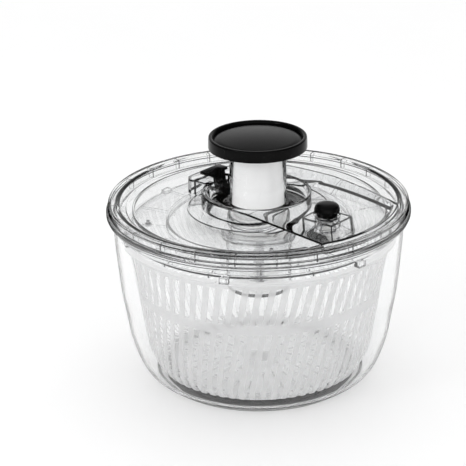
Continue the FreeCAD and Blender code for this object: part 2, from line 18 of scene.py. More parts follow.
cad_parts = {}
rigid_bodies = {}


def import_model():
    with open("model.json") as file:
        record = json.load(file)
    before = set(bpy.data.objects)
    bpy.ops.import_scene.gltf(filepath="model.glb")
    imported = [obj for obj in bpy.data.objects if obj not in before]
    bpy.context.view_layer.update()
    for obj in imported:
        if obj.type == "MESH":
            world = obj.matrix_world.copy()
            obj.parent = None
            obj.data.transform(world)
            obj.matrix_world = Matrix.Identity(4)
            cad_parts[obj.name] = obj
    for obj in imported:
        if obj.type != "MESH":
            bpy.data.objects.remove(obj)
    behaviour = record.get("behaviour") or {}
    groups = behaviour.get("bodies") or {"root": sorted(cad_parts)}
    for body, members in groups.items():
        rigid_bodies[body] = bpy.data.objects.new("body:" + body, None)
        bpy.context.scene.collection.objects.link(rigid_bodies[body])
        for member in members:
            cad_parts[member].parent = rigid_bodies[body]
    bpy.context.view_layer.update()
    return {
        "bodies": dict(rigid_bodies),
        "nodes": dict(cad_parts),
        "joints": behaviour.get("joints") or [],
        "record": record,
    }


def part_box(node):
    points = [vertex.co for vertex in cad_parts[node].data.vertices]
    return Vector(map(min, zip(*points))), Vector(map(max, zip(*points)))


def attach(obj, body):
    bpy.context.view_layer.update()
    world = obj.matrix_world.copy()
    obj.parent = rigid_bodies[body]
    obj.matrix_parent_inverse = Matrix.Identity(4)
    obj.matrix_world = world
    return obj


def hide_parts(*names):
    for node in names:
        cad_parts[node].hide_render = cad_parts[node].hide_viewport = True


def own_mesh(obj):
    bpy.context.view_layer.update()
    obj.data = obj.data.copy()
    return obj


log = logging.getLogger("salad_spinner")

MM = 0.001
SMOOTH_BELOW = math.radians(38.0)
Outline = list[tuple[float, float]]
Colour = tuple[float, float, float]
Point = tuple[float, float, float]
Faces = list[tuple[int, ...]]


class Body(Enum):
    """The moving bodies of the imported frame."""

    BOWL = "bowl"
    BASKET = "basket"
    LID = "lid"
    PLUNGER = "plunger"
    SPINDLE = "spindle"
    ROTOR = "rotor"
    BRAKE = "brake"
    LOCK = "lock"


class Slot(Enum):
    """The record's material slots."""

    BOWL = "clear_bowl"
    LID = "clear_lid"
    ROTOR = "clear_rotor"
    TUBE = "clear_tube"
    BASKET = "frosted_basket"
    RUBBER = "black_rubber"
    BLACK = "black_plastic"
    ACETAL = "white_acetal"
    SLEEVE = "satin_sleeve"
    SPINDLE = "spindle_steel"
    SPRING = "spring_steel"
    SCREW = "screw_steel"


# ---- outlines and meshes ------------------------------------------------------------------
def rounded(outline: Outline, radius: float, steps: int = 4) -> Outline:
    """Rounds the corners of a closed outline that are off the axis.

    Args:
        outline: (radius, height) corners of a closed outline.
        radius: how far each corner is cut back along its two sides, at most.
        steps: short edges per rounded corner.

    Returns:
        The outline with each corner replaced by a small arc.
    """
    out: Outline = []
    count = len(outline)
    for index, (r, z) in enumerate(outline):
        before = Vector(outline[index - 1])
        here = Vector((r, z))
        after = Vector(outline[(index + 1) % count])
        to_before = before - here
        to_after = after - here
        if r < 1e-6 or to_before.angle(to_after, 0.0) > math.radians(168):
            out.append((r, z))
            continue
        cut = min(radius, 0.42 * to_before.length, 0.42 * to_after.length)
        start = here + to_before.normalized() * cut
        end = here + to_after.normalized() * cut
        for step in range(steps + 1):
            k = step / steps
            point = start * (1 - k) ** 2 + here * 2 * k * (1 - k) + end * k ** 2
            out.append((point.x, point.y))
    return out


def smooth_line(points: Outline, per_span: int = 6) -> Outline:
    """A smooth line through points, as a Catmull-Rom chain.

    Args:
        points: (radius, height) points the line passes through.
        per_span: short edges between two points.

    Returns:
        The points of the smooth line, ends included.
    """
    out: Outline = []
    last = len(points) - 1
    for index in range(last):
        p1 = Vector(points[index])
        p2 = Vector(points[index + 1])
        p0 = Vector(points[index - 1]) if index else p1 * 2 - p2
        p3 = Vector(points[index + 2]) if index + 2 <= last else p2 * 2 - p1
        for step in range(per_span):
            k = step / per_span
            point = 0.5 * (2 * p1 + (p2 - p0) * k + (2 * p0 - 5 * p1 + 4 * p2 - p3) * k ** 2
                           + (3 * p1 - p0 - 3 * p2 + p3) * k ** 3)
            out.append((point.x, point.y))
    out.append(points[-1])
    return out


def inset_line(points: Outline, distance: float) -> Outline:
    """The same line moved towards the axis by a wall's thickness, square to the line.

    Args:
        points: (radius, height) points of the line.
        distance: the wall's thickness.

    Returns:
        The moved line.
    """
    out: Outline = []
    last = len(points) - 1
    for index, (r, z) in enumerate(points):
        r0, z0 = points[max(index - 1, 0)]
        r1, z1 = points[min(index + 1, last)]
        length = math.hypot(r1 - r0, z1 - z0)
        out.append((r - distance * (z1 - z0) / length, z + distance * (r1 - r0) / length))
    return out


def mesh_object(name: str, verts: list[Point], faces: Faces) -> bpy.types.Object:
    """An object from vertices in millimetres, with its normals turned outwards.

    Args:
        name: the piece's name.
        verts: its vertices in millimetres.
        faces: its faces, as vertex numbers.

    Returns:
        The new object.
    """
    mesh = bpy.data.meshes.new(name)
    mesh.from_pydata([(x * MM, y * MM, z * MM) for x, y, z in verts], [], faces)
    obj = bpy.data.objects.new(name, mesh)
    bpy.context.scene.collection.objects.link(obj)
    tidy_mesh(mesh)
    return obj


def tidy_mesh(mesh: bpy.types.Mesh) -> None:
    """Merges doubled vertices, turns normals outwards and sets smooth shading with sharp corners."""
    bm = bmesh.new()
    bm.from_mesh(mesh)
    bmesh.ops.remove_doubles(bm, verts=bm.verts, dist=1e-6)
    bmesh.ops.recalc_face_normals(bm, faces=bm.faces)
    bm.to_mesh(mesh)
    bm.free()
    mesh.shade_smooth()
    mesh.set_sharp_from_angle(angle=SMOOTH_BELOW)


def lathe(name: str, outline: Outline, segments: int = 160) -> bpy.types.Object:
    """A closed solid turned about the axis.

    Args:
        name: the piece's name.
        outline: closed (radius, height) outline in millimetres.
        segments: faces round the axis.

    Returns:
        The new object.
    """
    verts: list[Point] = []
    rows: list[list[int]] = []
    for r, z in outline:
        if r < 1e-6:
            rows.append([len(verts)] * segments)
            verts.append((0.0, 0.0, z))
            continue
        rows.append(list(range(len(verts), len(verts) + segments)))
        for step in range(segments):
            turn = 2 * math.pi * step / segments
            verts.append((r * math.cos(turn), r * math.sin(turn), z))
    faces: Faces = []
    for index, row in enumerate(rows):
        following = rows[(index + 1) % len(rows)]
        if row[0] == row[1] and following[0] == following[1]:
            continue
        for step in range(segments):
            right = (step + 1) % segments
            corners = (row[step], row[right], following[right], following[step])
            faces.append(tuple(dict.fromkeys(corners)))
    return mesh_object(name, verts, faces)


def prism_faces(count: int) -> Faces:
    """Two end faces and the sides between two equal outlines, given one after the other."""
    faces: Faces = [tuple(range(count)), tuple(range(count, 2 * count))]
    faces += [(i, (i + 1) % count, count + (i + 1) % count, count + i) for i in range(count)]
    return faces


def prism(name: str, plan: Outline, low: float, high: float) -> bpy.types.Object:
    """An upright prism over a plan outline.

    Args:
        name: the piece's name.
        plan: the outline seen from above.
        low: height of its underside.
        high: height of its top.

    Returns:
        The new object.
    """
    verts = [(x, y, low) for x, y in plan] + [(x, y, high) for x, y in plan]
    return mesh_object(name, verts, prism_faces(len(plan)))


def box_plan(s: tuple[float, float], t: tuple[float, float]) -> Outline:
    """The four plan corners of a box, each range given as (low, high)."""
    return [(s[0], t[0]), (s[1], t[0]), (s[1], t[1]), (s[0], t[1])]


def circle_plan(radius: float, centre: tuple[float, float] = (0.0, 0.0), segments: int = 96) -> Outline:
    """A circle as a plan outline."""
    turns = [2 * math.pi * step / segments for step in range(segments)]
    return [(centre[0] + radius * math.cos(turn), centre[1] + radius * math.sin(turn)) for turn in turns]


def turned(obj: bpy.types.Object, angle: float) -> bpy.types.Object:
    """Turns a mesh about the upright axis, leaving the object at the origin."""
    obj.data.transform(Matrix.Rotation(angle, 4, "Z"))
    return obj


def apply_modifiers(obj: bpy.types.Object) -> None:
    """Replaces the mesh by its evaluated one, and drops the modifiers."""
    graph = bpy.context.evaluated_depsgraph_get()
    mesh = bpy.data.meshes.new_from_object(obj.evaluated_get(graph))
    old = obj.data
    obj.modifiers.clear()
    obj.data = mesh
    mesh.name = obj.name
    bpy.data.meshes.remove(old)


def combine(obj: bpy.types.Object, tools: list[bpy.types.Object], operation: str) -> bpy.types.Object:
    """Joins tools to a solid or cuts them out of it, and removes the tools.

    Args:
        obj: the solid to work on.
        tools: closed solids.
        operation: UNION or DIFFERENCE.

    Returns:
        The same object with its new mesh.
    """
    for tool in tools:
        modifier = obj.modifiers.new("combine", "BOOLEAN")
        modifier.operation = operation
        modifier.solver = "EXACT"
        modifier.object = tool
        apply_modifiers(obj)
        bpy.data.objects.remove(tool)
    tidy_mesh(obj.data)
    return obj


def soften(obj: bpy.types.Object, width: float, segments: int = 2, angle: float = 40.0) -> bpy.types.Object:
    """Bevels the sharp edges of a solid by a width in millimetres.

    Args:
        obj: the solid.
        width: the bevel's width in millimetres.
        segments: steps across the bevel.
        angle: least angle, in degrees, of an edge that counts as sharp.

    Returns:
        The same object.
    """
    modifier = obj.modifiers.new("soften", "BEVEL")
    modifier.width = width * MM
    modifier.segments = segments
    modifier.limit_method = "ANGLE"
    modifier.angle_limit = math.radians(angle)
    apply_modifiers(obj)
    tidy_mesh(obj.data)
    return obj


def coil(name: str, radius: float, wire: float, low: float, high: float, turns: float,
         centre: tuple[float, float] = (0.0, 0.0)) -> bpy.types.Object:
    """A wire spring with closed end turns, as a mesh tube.

    Args:
        name: the piece's name.
        radius: mean radius of the coil.
        wire: radius of the wire.
        low: height of the lower end.
        high: height of the upper end.
        turns: number of turns.
        centre: plan position of the coil's axis.

    Returns:
        The new object.
    """
    around = 10
    per_turn = 36
    steps = int(turns * per_turn)
    verts: list[Point] = []
    faces: Faces = []
    flat = 0.9 / turns
    for step in range(steps + 1):
        k = step / steps
        rise = min(max((k - flat) / (1 - 2 * flat), 0.0), 1.0)
        height = low + wire + (high - low - 2 * wire) * rise
        turn = 2 * math.pi * turns * k
        for side in range(around):
            lean = 2 * math.pi * side / around
            reach = radius + wire * math.cos(lean)
            verts.append((centre[0] + reach * math.cos(turn), centre[1] + reach * math.sin(turn),
                          height + wire * math.sin(lean)))
    for step in range(steps):
        for side in range(around):
            right = (side + 1) % around
            base = step * around
            faces.append((base + side, base + right, base + around + right, base + around + side))
    faces.append(tuple(range(around)))
    faces.append(tuple(range(steps * around, (steps + 1) * around)))
    return mesh_object(name, verts, faces)


# ---- finishes -----------------------------------------------------------------------------
class Shader:
    """A small builder for one material's nodes."""

    def __init__(self, name: str) -> None:
        """Starts an empty material of that name."""
        self.material = bpy.data.materials.new(name)
        self.material.use_nodes = True
        self.tree = self.material.node_tree
        self.tree.nodes.clear()
        self.output = self.node("ShaderNodeOutputMaterial")
        self.place = self.node("ShaderNodeTexCoord").outputs["Object"]

    def node(self, kind: str, **settings: object) -> bpy.types.Node:
        """Adds a node. Settings that name an input set its value, others set a property.

        Args:
            kind: the node's type.
            **settings: input values and properties by name.

        Returns:
            The new node.
        """
        made = self.tree.nodes.new(kind)
        for key, value in settings.items():
            if hasattr(made, key):
                setattr(made, key, value)
            else:
                made.inputs[key.replace("_", " ").title()].default_value = value
        return made

    def link(self, source: bpy.types.NodeSocket, target: bpy.types.NodeSocket) -> None:
        """Joins two sockets."""
        self.tree.links.new(source, target)

    def noise(self, scale: float, detail: float = 4.0, stretch: tuple[float, float, float] = (1, 1, 1)
              ) -> bpy.types.NodeSocket:
        """A noise value over the piece, stretched along the axes.

        Args:
            scale: fineness of the noise.
            detail: how much fine detail it has.
            stretch: scale along each axis.

        Returns:
            A value from 0 to 1.
        """
        mapping = self.node("ShaderNodeMapping")
        mapping.inputs["Scale"].default_value = stretch
        self.link(self.place, mapping.inputs["Vector"])
        noise = self.node("ShaderNodeTexNoise", scale=scale, detail=detail)
        self.link(mapping.outputs["Vector"], noise.inputs["Vector"])
        return noise.outputs["Fac"]

    def spread(self, value: bpy.types.NodeSocket, low: float, high: float, start: float = 0.3, end: float = 0.7
               ) -> bpy.types.NodeSocket:
        """Maps a value from start..end onto low..high.

        Args:
            value: the value.
            low: result at start.
            high: result at end.
            start: lowest value that counts.
            end: highest value that counts.

        Returns:
            The mapped value.
        """
        node = self.node("ShaderNodeMapRange")
        for key, number in zip(("From Min", "From Max", "To Min", "To Max"), (start, end, low, high)):
            node.inputs[key].default_value = number
        self.link(value, node.inputs["Value"])
        return node.outputs["Result"]

    def math(self, operation: str, first: bpy.types.NodeSocket, second: bpy.types.NodeSocket) -> bpy.types.NodeSocket:
        """Joins two values with a math operation.

        Args:
            operation: name of the operation.
            first: its first value.
            second: its second value.

        Returns:
            The result.
        """
        node = self.node("ShaderNodeMath", operation=operation)
        self.link(first, node.inputs[0])
        self.link(second, node.inputs[1])
        return node.outputs["Value"]

    def blend(self, value: bpy.types.NodeSocket, low: Colour, high: Colour) -> bpy.types.NodeSocket:
        """A colour between two, chosen by a value from 0 to 1.

        Args:
            value: the value.
            low: colour at 0.
            high: colour at 1.

        Returns:
            The colour.
        """
        ramp = self.node("ShaderNodeValToRGB")
        ramp.color_ramp.elements[0].color = (*low, 1.0)
        ramp.color_ramp.elements[1].color = (*high, 1.0)
        self.link(value, ramp.inputs["Fac"])
        return ramp.outputs["Color"]

    def bump(self, height: bpy.types.NodeSocket, strength: float, distance: float) -> bpy.types.NodeSocket:
        """A normal disturbed by a height, with the depth in metres.

        Args:
            height: the height over the surface.
            strength: share of the bump that shows.
            distance: its depth in metres.

        Returns:
            The normal.
        """
        node = self.node("ShaderNodeBump")
        node.inputs["Strength"].default_value = strength
        node.inputs["Distance"].default_value = distance
        self.link(height, node.inputs["Height"])
        return node.outputs["Normal"]

    def mix(self, share: float | bpy.types.NodeSocket, first: bpy.types.NodeSocket, second: bpy.types.NodeSocket
            ) -> bpy.types.NodeSocket:
        """Mixes two shaders.

        Args:
            share: how much of the second shader shows, as a number or a value.
            first: the shader at share 0.
            second: the shader at share 1.

        Returns:
            The mixed shader.
        """
        node = self.node("ShaderNodeMixShader")
        if isinstance(share, bpy.types.NodeSocket):
            self.link(share, node.inputs["Fac"])
        else:
            node.inputs["Fac"].default_value = share
        self.link(first, node.inputs[1])
        self.link(second, node.inputs[2])
        return node.outputs["Shader"]

    def surface(self, source: bpy.types.NodeSocket) -> bpy.types.Material:
        """Makes a shader the material's surface and returns the material."""
        self.link(source, self.output.inputs["Surface"])
        return self.material


@dataclass(frozen=True)
class ClearPlastic:
    """Clear moulded plastic: bends light, has faint flow marks, lets lamps shine through, and has painted dark shade at
    glancing edges.

    Attributes:
        shade: what passes when light only crosses the wall.
        waviness: strength of the flow marks.
        haze: share of white haze.
        edge: darkest share of the painted dark shade at glancing edges.
        painted_edge_start: how glancing the view is where the painted dark edge begins, from 0 to 1.
        painted_rim_radius: distance from the axis, in metres, beyond which glancing faces are painted dark. 0 is off.
        quiet: share that bends light without mirroring it.
    """

    name: str
    colour: Colour = (0.985, 0.99, 0.992)
    roughness: float = 0.012
    ior: float = 1.49
    shade: Colour = (0.99, 0.99, 0.99)
    waviness: float = 0.012
    haze: float = 0.0
    edge: float = 0.5
    painted_edge_start: float = 0.84
    painted_rim_radius: float = 0.0
    quiet: float = 0.6

    def material(self) -> bpy.types.Material:
        """Builds the finish."""
        shader = Shader(self.name)
        glass = shader.node("ShaderNodeBsdfPrincipled")
        glass.inputs["IOR"].default_value = self.ior
        glass.inputs["Transmission Weight"].default_value = 1.0
        glass.inputs["Specular IOR Level"].default_value = 0.2
        scuffs = shader.noise(260.0, 6.0, (1, 1, 3))
        shader.link(shader.spread(scuffs, self.roughness, self.roughness + 0.035, 0.62, 0.8), glass.inputs["Roughness"])
        tone = shader.noise(22.0, 2.0)
        paler = tuple(min(1.0, c + 0.008) for c in self.colour)
        shader.link(shader.blend(tone, self.colour, paler), glass.inputs["Base Color"])
        flow = shader.noise(34.0, 2.0, (1, 1, 0.4))
        normal = shader.bump(flow, self.waviness, 0.0006)
        shader.link(normal, glass.inputs["Normal"])
        bending = shader.node("ShaderNodeBsdfRefraction")
        bending.inputs["IOR"].default_value = self.ior
        bending.inputs["Roughness"].default_value = self.roughness
        bending.inputs["Color"].default_value = (0.99, 0.99, 0.99, 1.0)
        shader.link(normal, bending.inputs["Normal"])
        quiet = shader.mix(self.quiet, glass.outputs["BSDF"], bending.outputs["BSDF"])
        clear = shader.node("ShaderNodeBsdfTransparent")
        clear.inputs["Color"].default_value = (*self.shade, 1.0)
        path = shader.node("ShaderNodeLightPath")
        # adds painted dark shade at glancing edges
        source = self.painted_dark_edges(shader, self.hazed(shader, quiet))
        for ray in ("Is Diffuse Ray", "Is Shadow Ray"):
            source = shader.mix(path.outputs[ray], source, clear.outputs["BSDF"])
        return shader.surface(source)

    def painted_dark_edges(self, shader: Shader, source: bpy.types.NodeSocket) -> bpy.types.NodeSocket:
        """Paints dark shade on glancing edges, standing in for the dark lines that refraction draws there, and beyond
        the rim radius paints the lid's dark crescents.

        Args:
            shader: the material being built.
            source: the clear shader.

        Returns:
            The shader with its painted dark edges.
        """
        # Painted shade: a near-black transparent shader, mixed in by facing angle, darkens glancing edges.
        dark = shader.node("ShaderNodeBsdfTransparent")
        dark.inputs["Color"].default_value = (0.015, 0.015, 0.016, 1.0)
        facing = shader.node("ShaderNodeLayerWeight")
        facing.inputs["Blend"].default_value = 0.5
        share = shader.spread(facing.outputs["Facing"], 0.0, self.edge, self.painted_edge_start, 1.0)
        # Painted shade: beyond this distance from the axis, glancing faces are painted near black, which makes the dark
        # crescents at the lid's ends.
        if self.painted_rim_radius:
            painted_rim_mask = shader.spread(self.radius(shader), 0.0, 1.0, self.painted_rim_radius - 0.0006, self.painted_rim_radius)
            crescent_facing = shader.spread(facing.outputs["Facing"], 0.0, 1.0, 0.6, 0.8)
            share = shader.math("MAXIMUM", share, shader.math("MULTIPLY", painted_rim_mask, crescent_facing))
        return shader.mix(share, source, dark.outputs["BSDF"])

    def radius(self, shader: Shader) -> bpy.types.NodeSocket:
        """Distance from the upright axis, in metres.

        Args:
            shader: the material being built.

        Returns:
            The distance.
        """
        flat = shader.node("ShaderNodeVectorMath", operation="MULTIPLY")
        flat.inputs[1].default_value = (1.0, 1.0, 0.0)
        shader.link(shader.place, flat.inputs[0])
        length = shader.node("ShaderNodeVectorMath", operation="LENGTH")
        shader.link(flat.outputs["Vector"], length.inputs[0])
        return length.outputs["Value"]

    def hazed(self, shader: Shader, source: bpy.types.NodeSocket) -> bpy.types.NodeSocket:
        """The clear shader with its share of white haze, if it has one.

        Args:
            shader: the material being built.
            source: the clear shader.

        Returns:
            The shader with its haze.
        """
        if not self.haze:
            return source
        milky = shader.node("ShaderNodeBsdfTranslucent")
        milky.inputs["Color"].default_value = (0.93, 0.93, 0.935, 1.0)
        return shader.mix(self.haze, source, milky.outputs["BSDF"])


@dataclass(frozen=True)
class FrostedPlastic:
    """Milky see-through plastic: a thin clear share, a share lit from within, a satin skin, and painted light that
    makes the faces looking at the axis paler.
    """

    name: str
    colour: Colour = (0.97, 0.97, 0.972)
    clear_share: float = 0.58
    milk_share: float = 0.55
    inner_share: float = 0.1
    edge_share: float = 0.5
    roughness: float = 0.28

    def material(self) -> bpy.types.Material:
        """Builds the finish."""
        shader = Shader(self.name)
        grain = shader.noise(900.0, 3.0)
        normal = shader.bump(grain, 0.08, 0.0002)
        tone = shader.blend(shader.noise(30.0, 3.0), tuple(c * 0.96 for c in self.colour), self.colour)
        # Painted light: faces that look at the axis take a paler colour, so the far wall reads as lit from behind.
        shade = shader.node("ShaderNodeMix", data_type="RGBA")
        shade.inputs["B"].default_value = (0.985, 0.985, 0.985, 1.0)
        inward = self.inward(shader)
        shader.link(inward, shade.inputs["Factor"])
        shader.link(tone, shade.inputs["A"])
        tone = shade.outputs["Result"]
        milky = shader.node("ShaderNodeBsdfTranslucent")
        skin = shader.node("ShaderNodeBsdfPrincipled")
        shader.link(shader.spread(grain, self.roughness, self.roughness + 0.12), skin.inputs["Roughness"])
        shader.link(normal, skin.inputs["Normal"])
        shader.link(tone, milky.inputs["Color"])
        shader.link(tone, skin.inputs["Base Color"])
        body = shader.mix(1.0 - self.milk_share, milky.outputs["BSDF"], skin.outputs["BSDF"])
        clear = shader.node("ShaderNodeBsdfTransparent")
        clear.inputs["Color"].default_value = (0.97, 0.97, 0.972, 1.0)
        facing = shader.node("ShaderNodeLayerWeight")
        facing.inputs["Blend"].default_value = self.edge_share
        share = shader.spread(facing.outputs["Facing"], 1.0 - self.clear_share, 0.9, 0.3, 1.0)
        share = shader.math("MULTIPLY", share, shader.spread(inward, 1.0, self.inner_share, 0.0, 1.0))
        return shader.surface(shader.mix(share, clear.outputs["BSDF"], body))

    def inward(self, shader: Shader) -> bpy.types.NodeSocket:
        """1 on faces that look at the axis, 0 on faces that look away from it; the paler colour it gives those faces is
        painted light.

        Args:
            shader: the material being built.

        Returns:
            The value.
        """
        normal = shader.node("ShaderNodeVectorTransform", vector_type="NORMAL", convert_from="WORLD",
                             convert_to="OBJECT")
        geometry = shader.node("ShaderNodeNewGeometry")
        shader.link(geometry.outputs["Normal"], normal.inputs[0])
        dot = shader.node("ShaderNodeVectorMath", operation="DOT_PRODUCT")
        shader.link(normal.outputs[0], dot.inputs[0])
        shader.link(shader.place, dot.inputs[1])
        return shader.spread(dot.outputs["Value"], 1.0, 0.0, -0.03, 0.0)


@dataclass(frozen=True)
class SolidFinish:
    """An opaque finish with tone, gloss and fine surface grain that vary over the piece."""

    name: str
    colour: Colour
    tone_change: float = 0.12
    metallic: float = 0.0
    roughness: tuple[float, float] = (0.3, 0.45)
    grain_scale: float = 700.0
    grain_depth: float = 0.00006
    grain_strength: float = 0.25
    stretch: tuple[float, float, float] = (1.0, 1.0, 1.0)
    coat: float = 0.0
    specular: float = 0.5

    def material(self) -> bpy.types.Material:
        """Builds the finish."""
        shader = Shader(self.name)
        body = shader.node("ShaderNodeBsdfPrincipled")
        body.inputs["Metallic"].default_value = self.metallic
        body.inputs["Coat Weight"].default_value = self.coat
        body.inputs["Coat Roughness"].default_value = 0.08
        body.inputs["Specular IOR Level"].default_value = self.specular
        darker = tuple(c * (1 - self.tone_change) for c in self.colour)
        tone = shader.noise(45.0, 5.0)
        shader.link(shader.blend(tone, darker, self.colour), body.inputs["Base Color"])
        wear = shader.noise(160.0, 6.0, self.stretch)
        shader.link(shader.spread(wear, *self.roughness), body.inputs["Roughness"])
        grain = shader.noise(self.grain_scale, 3.0, self.stretch)
        shader.link(shader.bump(grain, self.grain_strength, self.grain_depth), body.inputs["Normal"])
        return shader.surface(body.outputs["BSDF"])


FINISHES = {
    # edge sets the painted dark shade at the glancing edges of each clear finish.
    Slot.BOWL: ClearPlastic("clear_bowl_plastic", waviness=0.004, edge=0.4, shade=(0.95, 0.95, 0.95), quiet=0.3),
    # The lid's dark crescents at its ends are painted shade beyond 129.6 mm from the axis.
    Slot.LID: ClearPlastic("clear_lid_plastic", waviness=0.003, edge=0.3, painted_edge_start=0.88, painted_rim_radius=0.1296,
                           quiet=0.48),
    Slot.ROTOR: ClearPlastic("clear_rotor_plastic", waviness=0.006, haze=0.03, edge=0.7, quiet=0.35),
    Slot.TUBE: ClearPlastic("clear_tube_plastic", waviness=0.008, edge=0.1, quiet=0.2),
    Slot.BASKET: FrostedPlastic("frosted_basket_plastic"),
    Slot.RUBBER: SolidFinish("black_rubber_skin", (0.004, 0.004, 0.004), roughness=(0.55, 0.75),
                             grain_scale=1200.0, grain_strength=0.5, specular=0.12),
    Slot.BLACK: SolidFinish("black_moulding", (0.003, 0.003, 0.003), roughness=(0.14, 0.22), grain_depth=0.00002,
                            grain_strength=0.1, specular=0.07),
    Slot.ACETAL: SolidFinish("white_acetal", (0.82, 0.82, 0.81), tone_change=0.05, roughness=(0.3, 0.42)),
    Slot.SLEEVE: SolidFinish("satin_sleeve", (0.96, 0.96, 0.96), tone_change=0.02, specular=0.3,
                             roughness=(0.36, 0.44), stretch=(1, 1, 0.05)),
    Slot.SPINDLE: SolidFinish("bright_spindle_steel", (0.62, 0.62, 0.63), metallic=1.0, roughness=(0.18, 0.3),
                              stretch=(1, 1, 0.1)),
    Slot.SPRING: SolidFinish("spring_wire", (0.6, 0.6, 0.61), metallic=1.0, roughness=(0.2, 0.3)),
    Slot.SCREW: SolidFinish("zinc_steel", (0.58, 0.58, 0.59), metallic=1.0, roughness=(0.22, 0.36)),
}


class Dresser:
    """Gives pieces their finish, body and the CAD nodes that they stand for."""

    def __init__(self) -> None:
        """Builds every finish once."""
        self.materials = {slot: finish.material() for slot, finish in FINISHES.items()}

    def piece(self, obj: bpy.types.Object, body: Body, slot: Slot, *nodes: str) -> bpy.types.Object:
        """Dresses a new piece and hangs it on its body.

        Args:
            obj: the piece.
            body: the body it rides on.
            slot: the record's slot its finish comes from.
            *nodes: CAD nodes it stands for.

        Returns:
            The same piece.
        """
        obj.data.materials.clear()
        obj.data.materials.append(self.materials[slot])
        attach(obj, body.value)
        if nodes:
            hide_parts(*nodes)
        log.info("piece %s on %s", obj.name, body.value)
        return obj

    def carry(self, frame: dict) -> None:
        """Gives the CAD nodes that stay visible the finish of their slot.
        """
        by_node = {row["node"]: Slot(row["material_slot"]) for row in frame["record"]["subparts"]}
        for name, obj in frame["nodes"].items():
            for index in range(len(obj.material_slots)):
                obj.material_slots[index].material = self.materials[by_node[name]]


def span(node: str) -> tuple[Vector, Vector]:
    """Lowest and highest corner of a CAD node, in millimetres."""
    low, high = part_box(node)
    return Vector(low) / MM, Vector(high) / MM


def spine_angle() -> float:
    """The turn of the spine about the upright axis, from the brake button's place."""
    low, high = span("brake_button")
    middle = (low + high) / 2
    return math.atan2(middle.y, middle.x)


# ---- bowl ---------------------------------------------------------------------------------
@dataclass
class Bowl:
    """Clear bowl and the soft ring that it stands on."""

    side: tuple[tuple[float, float], ...] = ((94.5, 4.0), (102.0, 10.0), (107.0, 18.0), (111.0, 28.0), (115.0, 42.0),
                                             (118.0, 60.0), (121.4, 80.0), (124.0, 105.0), (126.0, 130.0),
                                             (126.8, 149.2))
    wall: float = 2.4
    lip_r: float = 131.2
    floor_top: float = 6.5
    floor_under: float = 3.6
    foot: tuple[float, float] = (90.5, 1.2)
    ring_width: float = 9.5
    ring_gap: float = 3.0
    cone: tuple[float, float, float] = (14.0, 2.2, 15.6)
    segments: int = 256

    def build(self, dresser: Dresser) -> None:
        """Makes the bowl and the ring.

        Args:
            dresser: gives each piece its finish and its body.
        """
        top = span("bowl")[1].z
        ring_low, ring_high = span("non_slip_ring")
        ring_out = ring_high.x
        ring_in = ring_out - self.ring_width
        wall_r = ring_out - self.ring_gap
        groove_top = ring_high.z
        outer = smooth_line(list(self.side))
        inner = inset_line(outer, self.wall)
        mouth = inner[-1][0]
        foot_r, foot_z = self.foot
        rim = rounded([(outer[-1][0], outer[-1][1] - 3), (outer[-1][0], outer[-1][1]), (self.lip_r, outer[-1][1]),
                       (self.lip_r, top), (mouth, top), (inner[-1][0], inner[-1][1] - 3)], 0.8)
        rim = [p for p in rim if p[1] > outer[-1][1] - 2.5]
        base = [(self.cone[0] + 2, self.floor_top), (self.cone[0], self.floor_top + 0.6), (self.cone[1], self.cone[2]),
                (0.0, self.cone[2] + 0.6), (0.0, self.floor_under), (ring_in - 3, self.floor_under),
                (ring_in - 2, foot_z), (ring_in, foot_z), (ring_in, groove_top), (foot_r - 1.0, groove_top),
                (foot_r - 2.4, foot_z), (foot_r, foot_z)]
        outline = outer[:-1] + rim + inner[::-1][1:] + [(inner[0][0] - 2.5, self.floor_top)] + base
        bowl = lathe("bowl_shell", outline, self.segments)
        dresser.piece(bowl, Body.BOWL, Slot.BOWL, "bowl")
        low = ring_low.z
        seat = groove_top + 0.05
        tread = rounded([(ring_in - 0.05, low + 0.5), (ring_in + 0.5, low), (ring_in + 2.2, low),
                         (ring_in + 2.6, low + 0.5), (ring_in + 3.0, low + 0.5), (ring_in + 3.4, low),
                         (wall_r - 0.5, low), (wall_r, low + 0.5), (wall_r, seat), (ring_in - 0.05, seat)], 0.3, 3)
        ring = lathe("non_slip_tread", tread, 192)
        dresser.piece(ring, Body.BOWL, Slot.RUBBER, "non_slip_ring")


